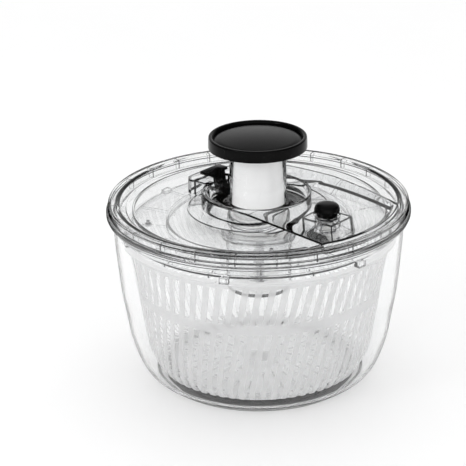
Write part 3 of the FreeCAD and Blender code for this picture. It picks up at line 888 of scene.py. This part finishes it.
# ---- basket -------------------------------------------------------------------------------
@dataclass
class Basket:
    """Frosted basket: two tiers of leaning slots, a slotted floor and a hub on the bowl's cone."""

    side: tuple[tuple[float, float], ...] = ((92.5, 15.0), (95.5, 20.0), (98.7, 28.0), (103.3, 53.0), (107.0, 79.0),
                                             (111.0, 106.0), (116.4, 131.5))
    wall: float = 1.8
    rim_r: float = 120.6
    slots: int = 64
    lean: float = 10.0
    tiers: tuple[tuple[float, float], ...] = ((15.5, 81.0), (91.0, 126.0))
    floor_rings: tuple[tuple[float, float, int], ...] = ((58.0, 72.0, 2), (40.0, 53.0, 2), (24.0, 36.0, 4))
    lug_start: float = 15.0
    lug_step: float = 60.0
    lean_height: float = 107.0
    lean_end: float = 20.0

    def notched(self, column: int, columns: int) -> bool:
        """True where a column of the rim makes way for one of the rotor's lugs."""
        turn = 360.0 * (column + 0.5) / columns - self.lug_start
        return abs((turn + self.lug_step / 2) % self.lug_step - self.lug_step / 2) < 2.6

    def rows(self) -> list[tuple[tuple[float, float], tuple[float, float], str]]:
        """Outer point, inner point and kind of the strip below, from the rim to the hub.

        Returns:
            One row for each height of the wall and each radius of the floor.
        """
        low, high = span("basket")
        top, under = high.z, low.z
        heights = [128.0, self.tiers[1][1]]
        heights += [self.tiers[1][1] - (self.tiers[1][1] - self.tiers[1][0]) * k / 6 for k in range(1, 7)]
        heights += [86.0, self.tiers[0][1]]
        heights += [self.tiers[0][1] - (self.tiers[0][1] - self.tiers[0][0]) * k / 11 for k in range(1, 12)]
        line = smooth_line(list(self.side), 10)
        rows = [((self.rim_r, top), (self.side[-1][0] - self.wall, top), "rim"),
                ((self.rim_r, top - 2.0), (self.side[-1][0] - self.wall, top - 0.7), "rim"),
                ((self.side[-1][0], top - 2.0), (self.side[-1][0] - self.wall, top - 2.0), "wall")]
        for z in heights:
            after = next(i for i, p in enumerate(line) if p[1] >= z)
            (r0, z0), (r1, z1) = line[max(after - 1, 0)], line[after]
            r = r0 + (r1 - r0) * (z - z0) / max(z1 - z0, 1e-6)
            kind = "wall"
            for tier_low, tier_high in self.tiers:
                if tier_low < z <= tier_high or z <= self.tiers[0][0]:
                    kind = "slots"
            rows.append(((r, z), (r - self.wall * 0.98, z + 0.2), kind))
        floor = under + 2.1
        rows.append(((90.6, under + 1.1), (89.4, under + 2.9), "slots"))
        rows.append(((88.5, under), (87.6, floor), "slots"))
        rows.append(((78.5, under), (78.5, floor), "floor"))
        for r_in, r_out, step in self.floor_rings:
            rows.append(((r_out, under), (r_out, floor), "ring%d" % step))
            rows.append(((r_in, under), (r_in, floor), "floor"))
        rows.append(((17.0, under), (17.0, floor), "floor"))
        return rows

    def build(self, dresser: Dresser) -> None:
        """Makes the wall and floor as one closed mesh of solid cells, and the hub.

        Args:
            dresser: gives each piece its finish and its body.
        """
        rows = self.rows()
        columns = self.slots * 4
        top = rows[0][0][1]
        verts: list[Point] = []
        for outer, inner, _ in rows:
            for r, z in (outer, inner):
                shift = math.tan(math.radians(self.lean)) * (max(z, self.lean_end) - top) / self.lean_height
                for column in range(columns):
                    turn = 2 * math.pi * column / columns + shift
                    verts.append((r * math.cos(turn), r * math.sin(turn), z))

        def at(row: int, side: int, column: int) -> int:
            """Index of a vertex: side 0 is outer, 1 is inner."""
            return (row * 2 + side) * columns + column % columns

        def solid(row: int, column: int) -> bool:
            """True if the cell below a row is material."""
            if row < 0 or row >= len(rows) - 1:
                return False
            kind = rows[row][2]
            place = column % 4
            if kind == "slots":
                return place in (0, 3)
            if kind == "rim":
                return not self.notched(column % columns, columns)
            if kind == "ring2":
                return (column // 4) % 2 == 1 or place in (0, 3)
            if kind == "ring4":
                return (column // 4) % 4 != 0
            return True

        faces: Faces = []
        for row in range(len(rows) - 1):
            for column in range(columns):
                if not solid(row, column):
                    continue
                right = column + 1
                faces.append((at(row, 0, column), at(row, 0, right), at(row + 1, 0, right), at(row + 1, 0, column)))
                faces.append((at(row, 1, column), at(row + 1, 1, column), at(row + 1, 1, right), at(row, 1, right)))
                if not solid(row - 1, column):
                    faces.append((at(row, 0, column), at(row, 1, column), at(row, 1, right), at(row, 0, right)))
                if not solid(row + 1, column):
                    faces.append((at(row + 1, 0, column), at(row + 1, 0, right), at(row + 1, 1, right),
                                  at(row + 1, 1, column)))
                if not solid(row, column - 1):
                    faces.append((at(row, 0, column), at(row + 1, 0, column), at(row + 1, 1, column),
                                  at(row, 1, column)))
                if not solid(row, column + 1):
                    faces.append((at(row, 0, right), at(row, 1, right), at(row + 1, 1, right), at(row + 1, 0, right)))
        basket = mesh_object("basket_wall", verts, faces)
        soften(basket, 0.3, 1, 55.0)
        dresser.piece(basket, Body.BASKET, Slot.BASKET, "basket")
        under = span("basket")[0].z
        hub = rounded([(17.2, under), (17.2, under + 2.1), (13.4, under + 9.5), (0.0, under + 9.5),
                       (0.0, under + 5.5), (3.4, under + 5.5), (8.6, under)], 1.2)
        dresser.piece(lathe("basket_hub", hub, 96), Body.BASKET, Slot.BASKET)


# ---- lid ----------------------------------------------------------------------------------
@dataclass
class Lid:
    """Clear lid: rim, lowered floor, raised tongue, well, underplate and guide."""

    flange_r: float = 132.5
    rim_r: float = 130.7
    rim_inner_r: float = 121.0
    floor_r: float = 115.0
    skirt: tuple[float, float, float] = (121.7, 123.6, 142.5)
    wall: float = 2.0
    under: float = 151.9
    flange_top: float = 156.0
    rim_top: float = 163.0
    floor: tuple[float, float] = (155.0, 157.0)
    tongue_top: float = 169.5
    tongue_flat_s: float = 30.0
    near_t: float = -49.5
    far_t: float = 67.5
    far_end_t: float = 62.0
    far_r: float = 69.0
    latch_s: float = -72.0
    latch_t: tuple[float, float] = (-17.5, 17.0)
    rib_count: int = 24

    def shell_outline(self) -> Outline:
        """Closed outline of the lid without its tongue."""
        under, top = self.floor
        skirt_in, skirt_out, skirt_z = self.skirt
        roof = self.rim_top - self.wall
        corners = [(0.0, under), (self.floor_r, under), (self.rim_inner_r, roof), (skirt_in, roof), (skirt_in, skirt_z),
                   (skirt_out, skirt_z), (skirt_out, roof), (self.rim_r - self.wall, roof),
                   (self.rim_r - self.wall, self.under), (self.flange_r, self.under), (self.flange_r, self.flange_top),
                   (self.rim_r, self.flange_top + 0.5), (self.rim_r, self.rim_top), (self.rim_inner_r, self.rim_top),
                   (self.floor_r, top), (0.0, top)]
        return rounded(corners, 1.3, 5)

    def roof_at(self, s: float, drop: float) -> float:
        """Height of the tongue's roof at a place along the spine.

        Args:
            s: the place along the spine.
            drop: how far below the outer roof.

        Returns:
            The height.
        """
        if s <= self.tongue_flat_s:
            return self.tongue_top - drop
        slope = (self.tongue_top - self.rim_top) / (self.rim_inner_r - self.tongue_flat_s)
        return max(self.tongue_top - (s - self.tongue_flat_s) * slope, self.rim_top) - drop

    def arc(self, radius: float, start: float, end: float, steps: int) -> Outline:
        """Plan points of an arc about the axis, by angle in radians.

        Args:
            radius: the arc's radius.
            start: first angle.
            end: last angle.
            steps: short edges along it.

        Returns:
            The points, ends included.
        """
        angles = [start + (end - start) * k / steps for k in range(steps + 1)]
        return [(radius * math.cos(a), radius * math.sin(a)) for a in angles]

    def tongue_plan(self, inset: float, reach: float) -> Outline:
        """Plan outline of the tongue in spine coordinates.

        Args:
            inset: how far the walls are moved inwards.
            reach: radius at which the tongue ends at the rim.

        Returns:
            The closed outline, anticlockwise.
        """
        near = -self.near_t - inset
        far_r = self.far_r - inset
        low_t, high_t = self.latch_t[0] + inset, self.latch_t[1] - inset
        latch_s = self.latch_s + inset
        near_end = math.asin(-near / reach)
        far_t = self.far_end_t - inset
        far_end = math.asin(far_t / reach)
        plan: Outline = self.arc(reach, near_end, far_end, 40)
        flat = self.tongue_flat_s
        start = (-15.0, math.sqrt(far_r ** 2 - 225.0))
        middle = (45.0, self.far_t + 2.5 - inset)
        end = plan[-1]
        for step in range(1, 25):
            k = step / 24
            w0, w1, w2 = 2 * (k - 0.5) * (k - 1), 4 * k * (1 - k), 2 * k * (k - 0.5)
            plan.append((w0 * end[0] + w1 * middle[0] + w2 * start[0], w0 * end[1] + w1 * middle[1] + w2 * start[1]))
        begin = math.atan2(start[1], start[0])
        join = math.atan2(high_t, -math.sqrt(far_r ** 2 - high_t ** 2))
        plan += self.arc(far_r, begin, join, 24)[1:]
        plan += [(latch_s, high_t - 5.0), (latch_s, low_t + 7.0), (latch_s + 6.0, low_t)]
        leave = math.atan2(low_t, -math.sqrt(near ** 2 - low_t ** 2)) + 2 * math.pi
        plan += self.arc(near, leave, 1.5 * math.pi, 24)
        plan += [(flat, -near), ((flat + plan[0][0]) / 2, -near)]
        return plan

    def tongue_solid(self, name: str, inset: float, reach: float, low: float, drop: float, edge: float
                     ) -> bpy.types.Object:
        """A solid over the tongue's plan whose roof follows the slope, with a rounded upper edge.

        Args:
            name: the solid's name.
            inset: how far its walls are moved inwards.
            reach: radius at which it ends at the rim.
            low: height of its underside.
            drop: how far its roof lies below the outer roof.
            edge: radius of the rounded edge, or 0.

        Returns:
            The new object.
        """
        plan = self.tongue_plan(inset, reach)
        steps = 4 if edge else 0
        rings = [(plan, [low] * len(plan))]
        for step in range(steps + 1):
            lean = math.pi / 2 * step / steps if steps else 0.0
            inner = offset_plan(plan, edge * (1 - math.cos(lean)))
            rings.append((inner, [self.roof_at(s, drop) - edge * (1 - math.sin(lean)) for s, _ in inner]))
        count = len(plan)
        verts: list[Point] = []
        for ring, heights in rings:
            verts += [(s, t, z) for (s, t), z in zip(ring, heights)]
        faces: Faces = [tuple(range(count))[::-1]]
        for level in range(len(rings) - 1):
            for index in range(count):
                after = (index + 1) % count
                base = level * count
                faces.append((base + index, base + after, base + count + after, base + count + index))
        roof = (len(rings) - 1) * count
        top_plan = rings[-1][0]
        high = [i for i in range(count) if top_plan[i][0] <= self.tongue_flat_s + 1e-6]
        split_a = min(high)
        split_b = max(high)
        faces.append(tuple(roof + i for i in range(split_a, split_b + 1)))
        faces.append(tuple(roof + i for i in list(range(split_b, count)) + list(range(0, split_a + 1))))
        return mesh_object(name, verts, faces)

    def shell(self, angle: float, button: tuple[float, float]) -> bpy.types.Object:
        """The lid's clear shell, with its tongue, well hole, latch window and button hole.

        Args:
            angle: the spine's turn.
            button: plan place of the brake button.

        Returns:
            The new object.
        """
        lid = lathe("lid_cover", self.shell_outline(), 256)
        tongue = turned(self.tongue_solid("tongue", 0.0, self.rim_inner_r + 1.0, self.floor[0] + 0.6, 0.0, 1.2), angle)
        hollow = turned(self.tongue_solid("hollow", self.wall, self.rim_inner_r - 4.0, 148.0, self.wall, 0.0), angle)
        well = span("knob_well")[1]
        window = turned(prism("window", box_plan((-61.0, -40.0), (-15.4, 14.9)), 157.5, 176.0), angle)
        cutters = [hollow, prism("well_hole", circle_plan(well.x + 0.1, segments=160), 149.0, 176.0), window,
                   prism("button_hole", circle_plan(11.6, button, 64), 158.0, 176.0)]
        combine(lid, [tongue], "UNION")
        combine(lid, cutters, "DIFFERENCE")
        return lid

    def rim_ribs(self) -> bpy.types.Object:
        """Thin upright ribs inside the hollow rim."""
        verts: list[Point] = []
        faces: Faces = []
        r0, r1 = self.skirt[1] + 0.02, self.rim_r - self.wall - 0.02
        for index in range(self.rib_count):
            turn = 2 * math.pi * (index + 0.37) / self.rib_count
            base = len(verts)
            for z in (self.under + 1.2, self.rim_top - self.wall - 0.3):
                for r, side in ((r0, -0.5), (r1, -0.5), (r1, 0.5), (r0, 0.5)):
                    lean = turn + side * 1.2 / r
                    verts.append((r * math.cos(lean), r * math.sin(lean), z))
            faces += [(base, base + 1, base + 2, base + 3), (base + 4, base + 5, base + 6, base + 7)]
            for side in range(4):
                after = (side + 1) % 4
                faces.append((base + side, base + after, base + 4 + after, base + 4 + side))
        return mesh_object("rim_ribs", verts, faces)

    def underplate(self, angle: float) -> bpy.types.Object:
        """Clear plate below the lid with an upstand, a stiffening ring and its openings.

        Args:
            angle: the spine's turn.

        Returns:
            The new object.
        """
        low, high = span("lid_underplate")
        r, bottom, top = high.x, low.z, high.z
        plate = bottom + 2.0
        outline = [(27.6, bottom), (r, bottom), (r, top), (r - 2, top), (r - 2, plate), (62.0, plate),
                   (62.0, plate + 0.9), (60.6, plate + 0.9), (60.6, plate), (27.6, plate)]
        disc = lathe("underplate", rounded(outline, 0.5, 3), 200)
        cutters = [turned(prism("lever_gap", box_plan((-60.0, -33.0), (2.9, 11.1)), bottom - 3, plate + 3), angle),
                   turned(prism("stem_gap", circle_plan(4.4, (75.7, 0.0), 48), bottom - 3, plate + 3), angle)]
        return combine(disc, cutters, "DIFFERENCE")

    def well(self, angle: float) -> bpy.types.Object:
        """Round well with a gap for the lock lever.

        Args:
            angle: the spine's turn.

        Returns:
            The new object.
        """
        low, high = span("knob_well")
        r, bottom, top = high.x, low.z, high.z
        outline = [(27.3, bottom), (r, bottom), (r, top), (r - 2.0, top), (r - 2.0, bottom + 2), (27.3, bottom + 2)]
        cup = lathe("well_cup", rounded(outline, 0.8, 4), 160)
        gap = turned(prism("well_gap", box_plan((-50.0, -33.0), (2.9, 11.1)), bottom - 1, top + 3), angle)
        return combine(cup, [gap], "DIFFERENCE")

    def guide(self) -> bpy.types.Object:
        """Clear sleeve that the plunger slides in."""
        low, high = span("plunger_guide")
        floor = span("knob_well")[0].z + 2.0
        bore = span("plunger_tube")[1].x + 0.08
        outer = bore + 2.32
        neck = outer + 1.2
        outline = [(bore, low.z), (outer, low.z), (outer, 135.0), (outer - 0.7, 135.0), (outer - 0.7, 136.6),
                   (outer, 136.6), (outer, floor), (31.0, floor), (31.0, floor + 2), (neck, floor + 2),
                   (neck, high.z), (bore, high.z)]
        return lathe("guide_sleeve", rounded(outline, 0.35, 3), 128)

    def build(self, dresser: Dresser) -> None:
        """Makes every clear part of the lid.

        Args:
            dresser: gives each piece its finish and its body.
        """
        angle = spine_angle()
        low, high = span("brake_button")
        button = ((low.x + high.x) / 2, (low.y + high.y) / 2)
        dresser.piece(self.shell(angle, button), Body.LID, Slot.LID, "lid_shell")
        dresser.piece(self.rim_ribs(), Body.LID, Slot.LID)
        dresser.piece(self.underplate(angle), Body.LID, Slot.LID, "lid_underplate")
        dresser.piece(self.well(angle), Body.LID, Slot.LID, "knob_well")
        dresser.piece(self.guide(), Body.LID, Slot.LID, "plunger_guide")


def offset_plan(plan: Outline, distance: float) -> Outline:
    """A closed anticlockwise plan with every side moved inwards by a distance.

    Args:
        plan: the outline.
        distance: how far.

    Returns:
        The moved outline.
    """
    out: Outline = []
    count = len(plan)
    for index in range(count):
        before = Vector(plan[index - 1])
        here = Vector(plan[index])
        after = Vector(plan[(index + 1) % count])
        into = (here - before).normalized()
        away = (after - here).normalized()
        normal_a = Vector((-into.y, into.x))
        normal_b = Vector((-away.y, away.x))
        miter = normal_a + normal_b
        scale = distance / max(miter.length_squared / 2, 0.3)
        out.append((here.x + miter.x * scale, here.y + miter.y * scale))
    return out


# ---- rotor --------------------------------------------------------------------------------
@dataclass
class Rotor:
    """Clear drive disc with its drum, cup, ribs and lugs."""

    disc_z: tuple[float, float] = (135.0, 137.0)
    rim_r: float = 113.6
    drum: tuple[float, float] = (80.0, 143.0)
    cup: tuple[float, float, float] = (28.0, 80.0, 130.0)
    neck_r: float = 31.0
    wall: float = 2.0
    lugs: int = 6
    lug_start: float = 15.0
    rib_count: int = 16

    def build(self, dresser: Dresser) -> None:
        """Makes the disc, its lugs and its ribs as one piece.

        Args:
            dresser: gives each piece its finish and its body.
        """
        low, high = self.disc_z
        drum_r, drum_top = self.drum
        cup_r, cup_under, neck_z = self.cup
        bore, neck_bore = cup_r - self.wall, self.neck_r - self.wall
        outline = [(3.08, cup_under + 2.5), (bore, cup_under + 2.5), (bore, neck_z), (neck_bore, neck_z + 2.0),
                   (neck_bore, drum_top), (drum_r, drum_top), (drum_r, high), (self.rim_r, high), (self.rim_r, 131.0),
                   (self.rim_r - 1.8, 131.0), (self.rim_r - 1.8, low), (drum_r - 2.0, low),
                   (drum_r - 2.0, drum_top - 2.0), (self.neck_r, drum_top - 2.0), (self.neck_r, neck_z),
                   (cup_r, neck_z - 2.0), (cup_r, cup_under), (12.0, cup_under), (10.0, 77.5), (0.0, 77.5),
                   (0.0, 79.2), (3.08, 79.2)]
        disc = lathe("drive_disc_body", rounded(outline, 0.7, 3), 200)
        tools = []
        spacing = 2 * math.pi / self.lugs
        for index in range(self.lugs):
            lug = prism("lug", box_plan((self.rim_r - 1.0, 119.0), (-4.0, 4.0)), 132.0, high - 0.01)
            tools.append(turned(lug, math.radians(self.lug_start) + spacing * index))
        for index in range(self.rib_count):
            rib = prism("rib", box_plan((drum_r - 2.4, self.rim_r - 1.4), (-0.6, 0.6)), 133.2, low + 0.4)
            tools.append(turned(rib, 2 * math.pi * index / self.rib_count))
        combine(disc, tools, "UNION")
        dresser.piece(disc, Body.ROTOR, Slot.ROTOR, "drive_disc")


# ---- plunger ------------------------------------------------------------------------------
@dataclass
class Plunger:
    """Knob, tubes, nut and the return spring."""

    knob_r: float = 43.0
    knob_edge: float = 1.9
    dome: float = 2.3
    tube_wall: float = 2.2
    stroke: float = 46.0

    def knob(self) -> bpy.types.Object:
        """Black knob with a rounded rim and a sunk, slightly domed top."""
        low, high = span("knob_cap")
        bottom, top, r = low.z, high.z, self.knob_r
        sunk = top - 2.4
        crown = [(r - 4.6 - (r - 4.6) * k / 12, sunk + self.dome * (1 - (1 - k / 12) ** 2)) for k in range(13)]
        edge = rounded([(r - 2.2, bottom), (r - 0.2, bottom), (r - 0.35, top - 3.2), (r - 0.7, top), (r - 3.6, top),
                        (r - 4.6, sunk)], self.knob_edge, 6)
        roof = top - 4.0
        outline = edge + crown[1:-1] + [(0.0, crown[-1][1]), (0.0, roof), (r - 2.2, roof)]
        return lathe("press_knob", outline, 192)

    def tube(self, name: str, node: str) -> bpy.types.Object:
        """A tube of the plunger with softly rounded ends, sized by its node.

        Args:
            name: the piece's name.
            node: the CAD node it stands for.

        Returns:
            The new object.
        """
        low, high = span(node)
        outer, inner = high.x, high.x - self.tube_wall
        outline = [(inner, low.z), (outer, low.z), (outer, high.z), (inner, high.z)]
        return lathe(name, rounded(outline, 0.3, 3), 128)

    def build(self, dresser: Dresser) -> None:
        """Makes the knob, both tubes, the nut and the spring.

        Args:
            dresser: gives each piece its finish and its body.
        """
        dresser.piece(self.knob(), Body.PLUNGER, Slot.BLACK, "knob_cap")
        dresser.piece(self.tube("clear_tube", "plunger_tube"), Body.PLUNGER, Slot.TUBE, "plunger_tube")
        dresser.piece(self.tube("satin_tube", "plunger_sleeve"), Body.PLUNGER, Slot.SLEEVE, "plunger_sleeve")
        z = span("helix_nut")[0].z
        nut = rounded([(5.4, z), (23.5, z), (23.5, z + 5), (19.2, z + 5), (19.2, z + 6.5), (17.0, z + 6.5),
                       (17.0, z + 4), (8.4, z + 4), (8.4, z + 9), (5.4, z + 9)], 0.5, 3)
        dresser.piece(lathe("nut_body", nut, 96), Body.PLUNGER, Slot.ACETAL, "helix_nut")
        low, high = span("return_spring")
        spring = coil("lift_spring", 8.2, 0.65, low.z, high.z, 12)
        dresser.piece(spring, Body.LID, Slot.SPRING, "return_spring")
        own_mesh(spring)


# ---- spindle ------------------------------------------------------------------------------
@dataclass
class Spindle:
    """Twisted steel bar that the nut drives."""

    bar: tuple[float, float] = (9.0, 3.8)
    twist: float = 900.0
    low: float = 89.0

    def build(self, dresser: Dresser) -> None:
        """Makes the twisted bar, its hub and its journal.

        Args:
            dresser: gives each piece its finish and its body.
        """
        bottom, top = span("twisted_spindle")
        across = [(1.0, -1.0), (1.0, 1.0), (-1.0, 1.0), (-1.0, -1.0)]
        section = rounded([(x * self.bar[0] / 2, y * self.bar[1] / 2) for x, y in across], 0.8, 3)
        steps = 120
        verts: list[Point] = []
        faces: Faces = []
        count = len(section)
        for step in range(steps + 1):
            turn = math.radians(self.twist) * step / steps
            z = self.low + (top.z - self.low) * step / steps
            for x, y in section:
                verts.append((x * math.cos(turn) - y * math.sin(turn), x * math.sin(turn) + y * math.cos(turn), z))
        for step in range(steps):
            for side in range(count):
                right = (side + 1) % count
                base = step * count
                faces.append((base + side, base + right, base + count + right, base + count + side))
        faces.append(tuple(range(count))[::-1])
        faces.append(tuple(range(steps * count, (steps + 1) * count)))
        bar = mesh_object("twisted_bar", verts, faces)
        dresser.piece(bar, Body.SPINDLE, Slot.SPINDLE, "twisted_spindle")
        foot = rounded([(0.0, bottom.z), (3.0, bottom.z), (3.0, 87.4), (8.6, 87.4), (8.6, 89.4), (0.0, 89.4)], 0.4, 3)
        dresser.piece(lathe("spindle_foot", foot, 64), Body.SPINDLE, Slot.SPINDLE)


# ---- brake --------------------------------------------------------------------------------
@dataclass
class Brake:
    """Black brake button with its neck, and the spring under it."""

    radius: float = 11.0
    neck_r: float = 8.9
    travel: float = 3.2

    def build(self, dresser: Dresser) -> None:
        """Makes the domed button and the brake spring.

        Args:
            dresser: gives each piece its finish and its body.
        """
        low, high = span("brake_button")
        middle = (low + high) / 2
        z = high.z - 7.2
        dome = [(self.radius - 0.6, z + 3.6)]
        steps = 10
        for step in range(1, steps + 1):
            lean = math.pi / 2 * step / steps
            dome.append(((self.radius - 0.6) * math.cos(lean) ** 0.55 if step < steps else 0.0,
                         z + 3.6 + 3.6 * math.sin(lean)))
        outline = [(0.0, low.z), (self.neck_r, low.z), (self.neck_r, z), (self.radius - 0.3, z),
                   (self.radius, z + 0.5), (self.radius - 0.1, z + 2.4)] + dome
        button = lathe("brake_cap", outline, 96)
        button.data.transform(Matrix.Translation((middle.x * MM, middle.y * MM, 0)))
        dresser.piece(button, Body.BRAKE, Slot.BLACK, "brake_button")
        low, high = span("brake_spring")
        middle = (low + high) / 2
        spring = coil("brake_coil", 6.4, 0.6, low.z, high.z, 3, (middle.x, middle.y))
        dresser.piece(spring, Body.LID, Slot.SPRING, "brake_spring")
        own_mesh(spring)


# ---- lock ---------------------------------------------------------------------------------
@dataclass
class Lock:
    """Black lock lever with its hook and finger tab."""

    side: tuple[tuple[float, float], ...] = ((-53.0, 147.5), (-41.0, 147.5), (-38.0, 154.5), (-39.0, 161.0),
                                             (-45.4, 163.2), (-47.4, 176.2), (-43.8, 176.2), (-44.2, 178.6),
                                             (-55.0, 178.6), (-55.4, 168.0))
    t: tuple[float, float] = (3.5, 10.5)
    tab_s: tuple[float, float] = (-55.0, -49.5)

    def build(self, dresser: Dresser) -> None:
        """Makes the lever.

        Args:
            dresser: gives each piece its finish and its body.
        """
        lever = self.plate("lever", self.side, self.t[0], self.t[1])
        tab = [(-14.0, 178.6), (-14.0, 176.0), (self.t[0] + 1, 167.0), (self.t[0] + 1, 178.6)]
        verts = [(s, t, z) for s in self.tab_s for t, z in tab]
        combine(lever, [mesh_object("tab", verts, prism_faces(len(tab)))], "UNION")
        soften(lever, 0.5, 3, 30.0)
        turned(lever, spine_angle())
        lever.name = "latch_lever"
        dresser.piece(lever, Body.LOCK, Slot.BLACK, "lock_lever")

    def plate(self, name: str, side: tuple[tuple[float, float], ...], low: float, high: float) -> bpy.types.Object:
        """An outline in the spine's upright plane, thickened across it.

        Args:
            name: the piece's name.
            side: (s, height) outline.
            low: where it starts across the spine.
            high: where it ends across the spine.

        Returns:
            The new object.
        """
        verts = [(s, low, z) for s, z in side] + [(s, high, z) for s, z in side]
        return mesh_object(name, verts, prism_faces(len(side)))


# ---- studio -------------------------------------------------------------------------------
@dataclass
class Studio:
    """Pale floor, soft light and the camera.

    The camera's distances are metres. Stops are (position, brightness).
    """

    lens: float = 139.06
    distance: float = 1.590
    elevation: float = 22.33
    roll: float = 0.90
    aim: float = 0.100
    aside: float = 0.02245
    above: float = 0.02756
    floor_size: float = 16.0
    sun_strength: float = 0.58
    side_stops: tuple[tuple[float, float], ...] = ((0.5, 1.0), (0.8, 0.03))
    crown_stops: tuple[tuple[float, float], ...] = ((0.26, 1.0), (0.5, 0.4))

    def camera(self) -> None:
        """Places the camera at the viewing angle."""
        el, roll = math.radians(self.elevation), math.radians(self.roll)
        forward = Vector((0, math.cos(el), -math.sin(el)))
        right = Vector((1, 0, 0))
        up = Vector((0, math.sin(el), math.cos(el)))
        place = Vector((0, 0, self.aim)) - forward * self.distance - right * self.aside + up * self.above
        x_axis = right * math.cos(roll) - up * math.sin(roll)
        y_axis = right * math.sin(roll) + up * math.cos(roll)
        data = bpy.data.cameras.new("camera")
        data.lens = self.lens
        data.clip_start = 0.01
        data.clip_end = 50.0
        camera = bpy.data.objects.new("camera", data)
        bpy.context.scene.collection.objects.link(camera)
        turn = Matrix((x_axis, y_axis, -forward)).transposed().to_4x4()
        camera.matrix_world = Matrix.Translation(place) @ turn
        bpy.context.scene.camera = camera

    def floor(self) -> None:
        """Makes the pale floor."""
        half = self.floor_size / 2 / MM
        plane = mesh_object("studio_floor", [(-half, -half, 0), (half, -half, 0), (half, half, 0), (-half, half, 0)],
                            [(0, 1, 2, 3)])
        shader = Shader("pale_floor")
        body = shader.node("ShaderNodeBsdfPrincipled")
        body.inputs["Specular IOR Level"].default_value = 0.2
        tone = shader.noise(3.0, 3.0)
        shader.link(shader.blend(tone, (0.88, 0.88, 0.88), (0.9, 0.9, 0.9)), body.inputs["Base Color"])
        shader.link(shader.spread(shader.noise(40.0, 3.0), 0.5, 0.6), body.inputs["Roughness"])
        plane.data.materials.append(shader.surface(body.outputs["BSDF"]))

    def world(self) -> None:
        """A surround with dark sides and a grey crown, so that clear edges read as lines.

        Straight views and light that has left a dull surface meet a plain pale backdrop instead.
        """
        world = bpy.data.worlds.new("studio")
        bpy.context.scene.world = world
        world.use_nodes = True
        tree = world.node_tree
        tree.nodes.clear()

        def node(kind: str) -> bpy.types.Node:
            """Adds a node to the world."""
            return tree.nodes.new(kind)

        def ramp(source: bpy.types.NodeSocket, stops: tuple[tuple[float, float], ...]) -> bpy.types.NodeSocket:
            """A grey ramp over (position, brightness) stops."""
            made = node("ShaderNodeValToRGB")
            elements = made.color_ramp.elements
            while len(elements) < len(stops):
                elements.new(0.5)
            for element, (position, grey) in zip(elements, stops):
                element.position = position
                element.color = (grey, grey, grey, 1.0)
            tree.links.new(source, made.inputs["Fac"])
            return made.outputs["Color"]

        coords = node("ShaderNodeTexCoord")
        split = node("ShaderNodeSeparateXYZ")
        tree.links.new(coords.outputs["Generated"], split.inputs[0])
        aside = node("ShaderNodeMath")
        aside.operation = "ABSOLUTE"
        tree.links.new(split.outputs["X"], aside.inputs[0])
        sides = ramp(aside.outputs["Value"], self.side_stops)
        crown = ramp(split.outputs["Z"], self.crown_stops)
        product = node("ShaderNodeMix")
        product.data_type = "RGBA"
        product.blend_type = "MULTIPLY"
        product.inputs["Factor"].default_value = 1.0
        tree.links.new(sides, product.inputs["A"])
        tree.links.new(crown, product.inputs["B"])
        surround = node("ShaderNodeBackground")
        tree.links.new(product.outputs["Result"], surround.inputs["Color"])
        backdrop = node("ShaderNodeBackground")
        backdrop.inputs["Color"].default_value = (0.98, 0.98, 0.98, 1.0)
        path = node("ShaderNodeLightPath")
        bounced = node("ShaderNodeMath")
        bounced.operation = "MAXIMUM"
        tree.links.new(path.outputs["Is Camera Ray"], bounced.inputs[0])
        tree.links.new(path.outputs["Diffuse Depth"], bounced.inputs[1])
        plain = node("ShaderNodeMath")
        plain.operation = "MINIMUM"
        plain.inputs[1].default_value = 1.0
        tree.links.new(bounced.outputs["Value"], plain.inputs[0])
        mix = node("ShaderNodeMixShader")
        tree.links.new(plain.outputs["Value"], mix.inputs["Fac"])
        tree.links.new(surround.outputs["Background"], mix.inputs[1])
        tree.links.new(backdrop.outputs["Background"], mix.inputs[2])
        output = node("ShaderNodeOutputWorld")
        tree.links.new(mix.outputs["Shader"], output.inputs["Surface"])

    def sun(self) -> None:
        """A wide soft light from above and behind, even over the whole floor."""
        data = bpy.data.lights.new("sky_panel", "SUN")
        data.energy = self.sun_strength
        data.angle = math.radians(70)
        lamp = bpy.data.objects.new("sky_panel", data)
        bpy.context.scene.collection.objects.link(lamp)
        lamp.rotation_euler = (math.radians(-24), math.radians(6), 0)
        lamp.visible_glossy = False
        lamp.visible_transmission = False

    def lamp(self, name: str, place: Vector, size: float, power: float) -> None:
        """A square lamp that points at the spinner and shows as a highlight.

        Args:
            name: the lamp's name.
            place: where it stands, in metres.
            size: its side in metres.
            power: its power in watts.
        """
        data = bpy.data.lights.new(name, "AREA")
        data.shape = "SQUARE"
        data.size = size
        data.energy = power
        lamp = bpy.data.objects.new(name, data)
        bpy.context.scene.collection.objects.link(lamp)
        lamp.location = place
        lamp.rotation_mode = "QUATERNION"
        lamp.rotation_quaternion = (Vector((0, 0, 0.1)) - place).to_track_quat("-Z", "Y")

    def build(self) -> None:
        """Makes the floor, lights, camera and the light-path limits clear plastic needs."""
        self.camera()
        self.floor()
        self.world()
        self.sun()
        self.lamp("left_box", Vector((-1.3, -0.9, 1.0)), 0.35, 3.0)
        scene = bpy.context.scene
        scene.view_settings.view_transform = "Standard"
        scene.cycles.max_bounces = 24
        scene.cycles.transmission_bounces = 24
        scene.cycles.transparent_max_bounces = 32
        scene.cycles.glossy_bounces = 6
        scene.cycles.diffuse_bounces = 8
        scene.cycles.sample_clamp_indirect = 6.0
        scene.cycles.use_denoising = True


def main() -> None:
    """Builds the spinner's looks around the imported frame, then the studio."""
    logging.basicConfig(level=logging.INFO, format="%(name)s: %(message)s")
    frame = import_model()
    dresser = Dresser()
    dresser.carry(frame)
    for part in (Bowl(), Basket(), Lid(), Rotor(), Plunger(), Spindle(), Brake(), Lock()):
        part.build(dresser)
    Studio().build()


if __name__ == "__main__":
    main()
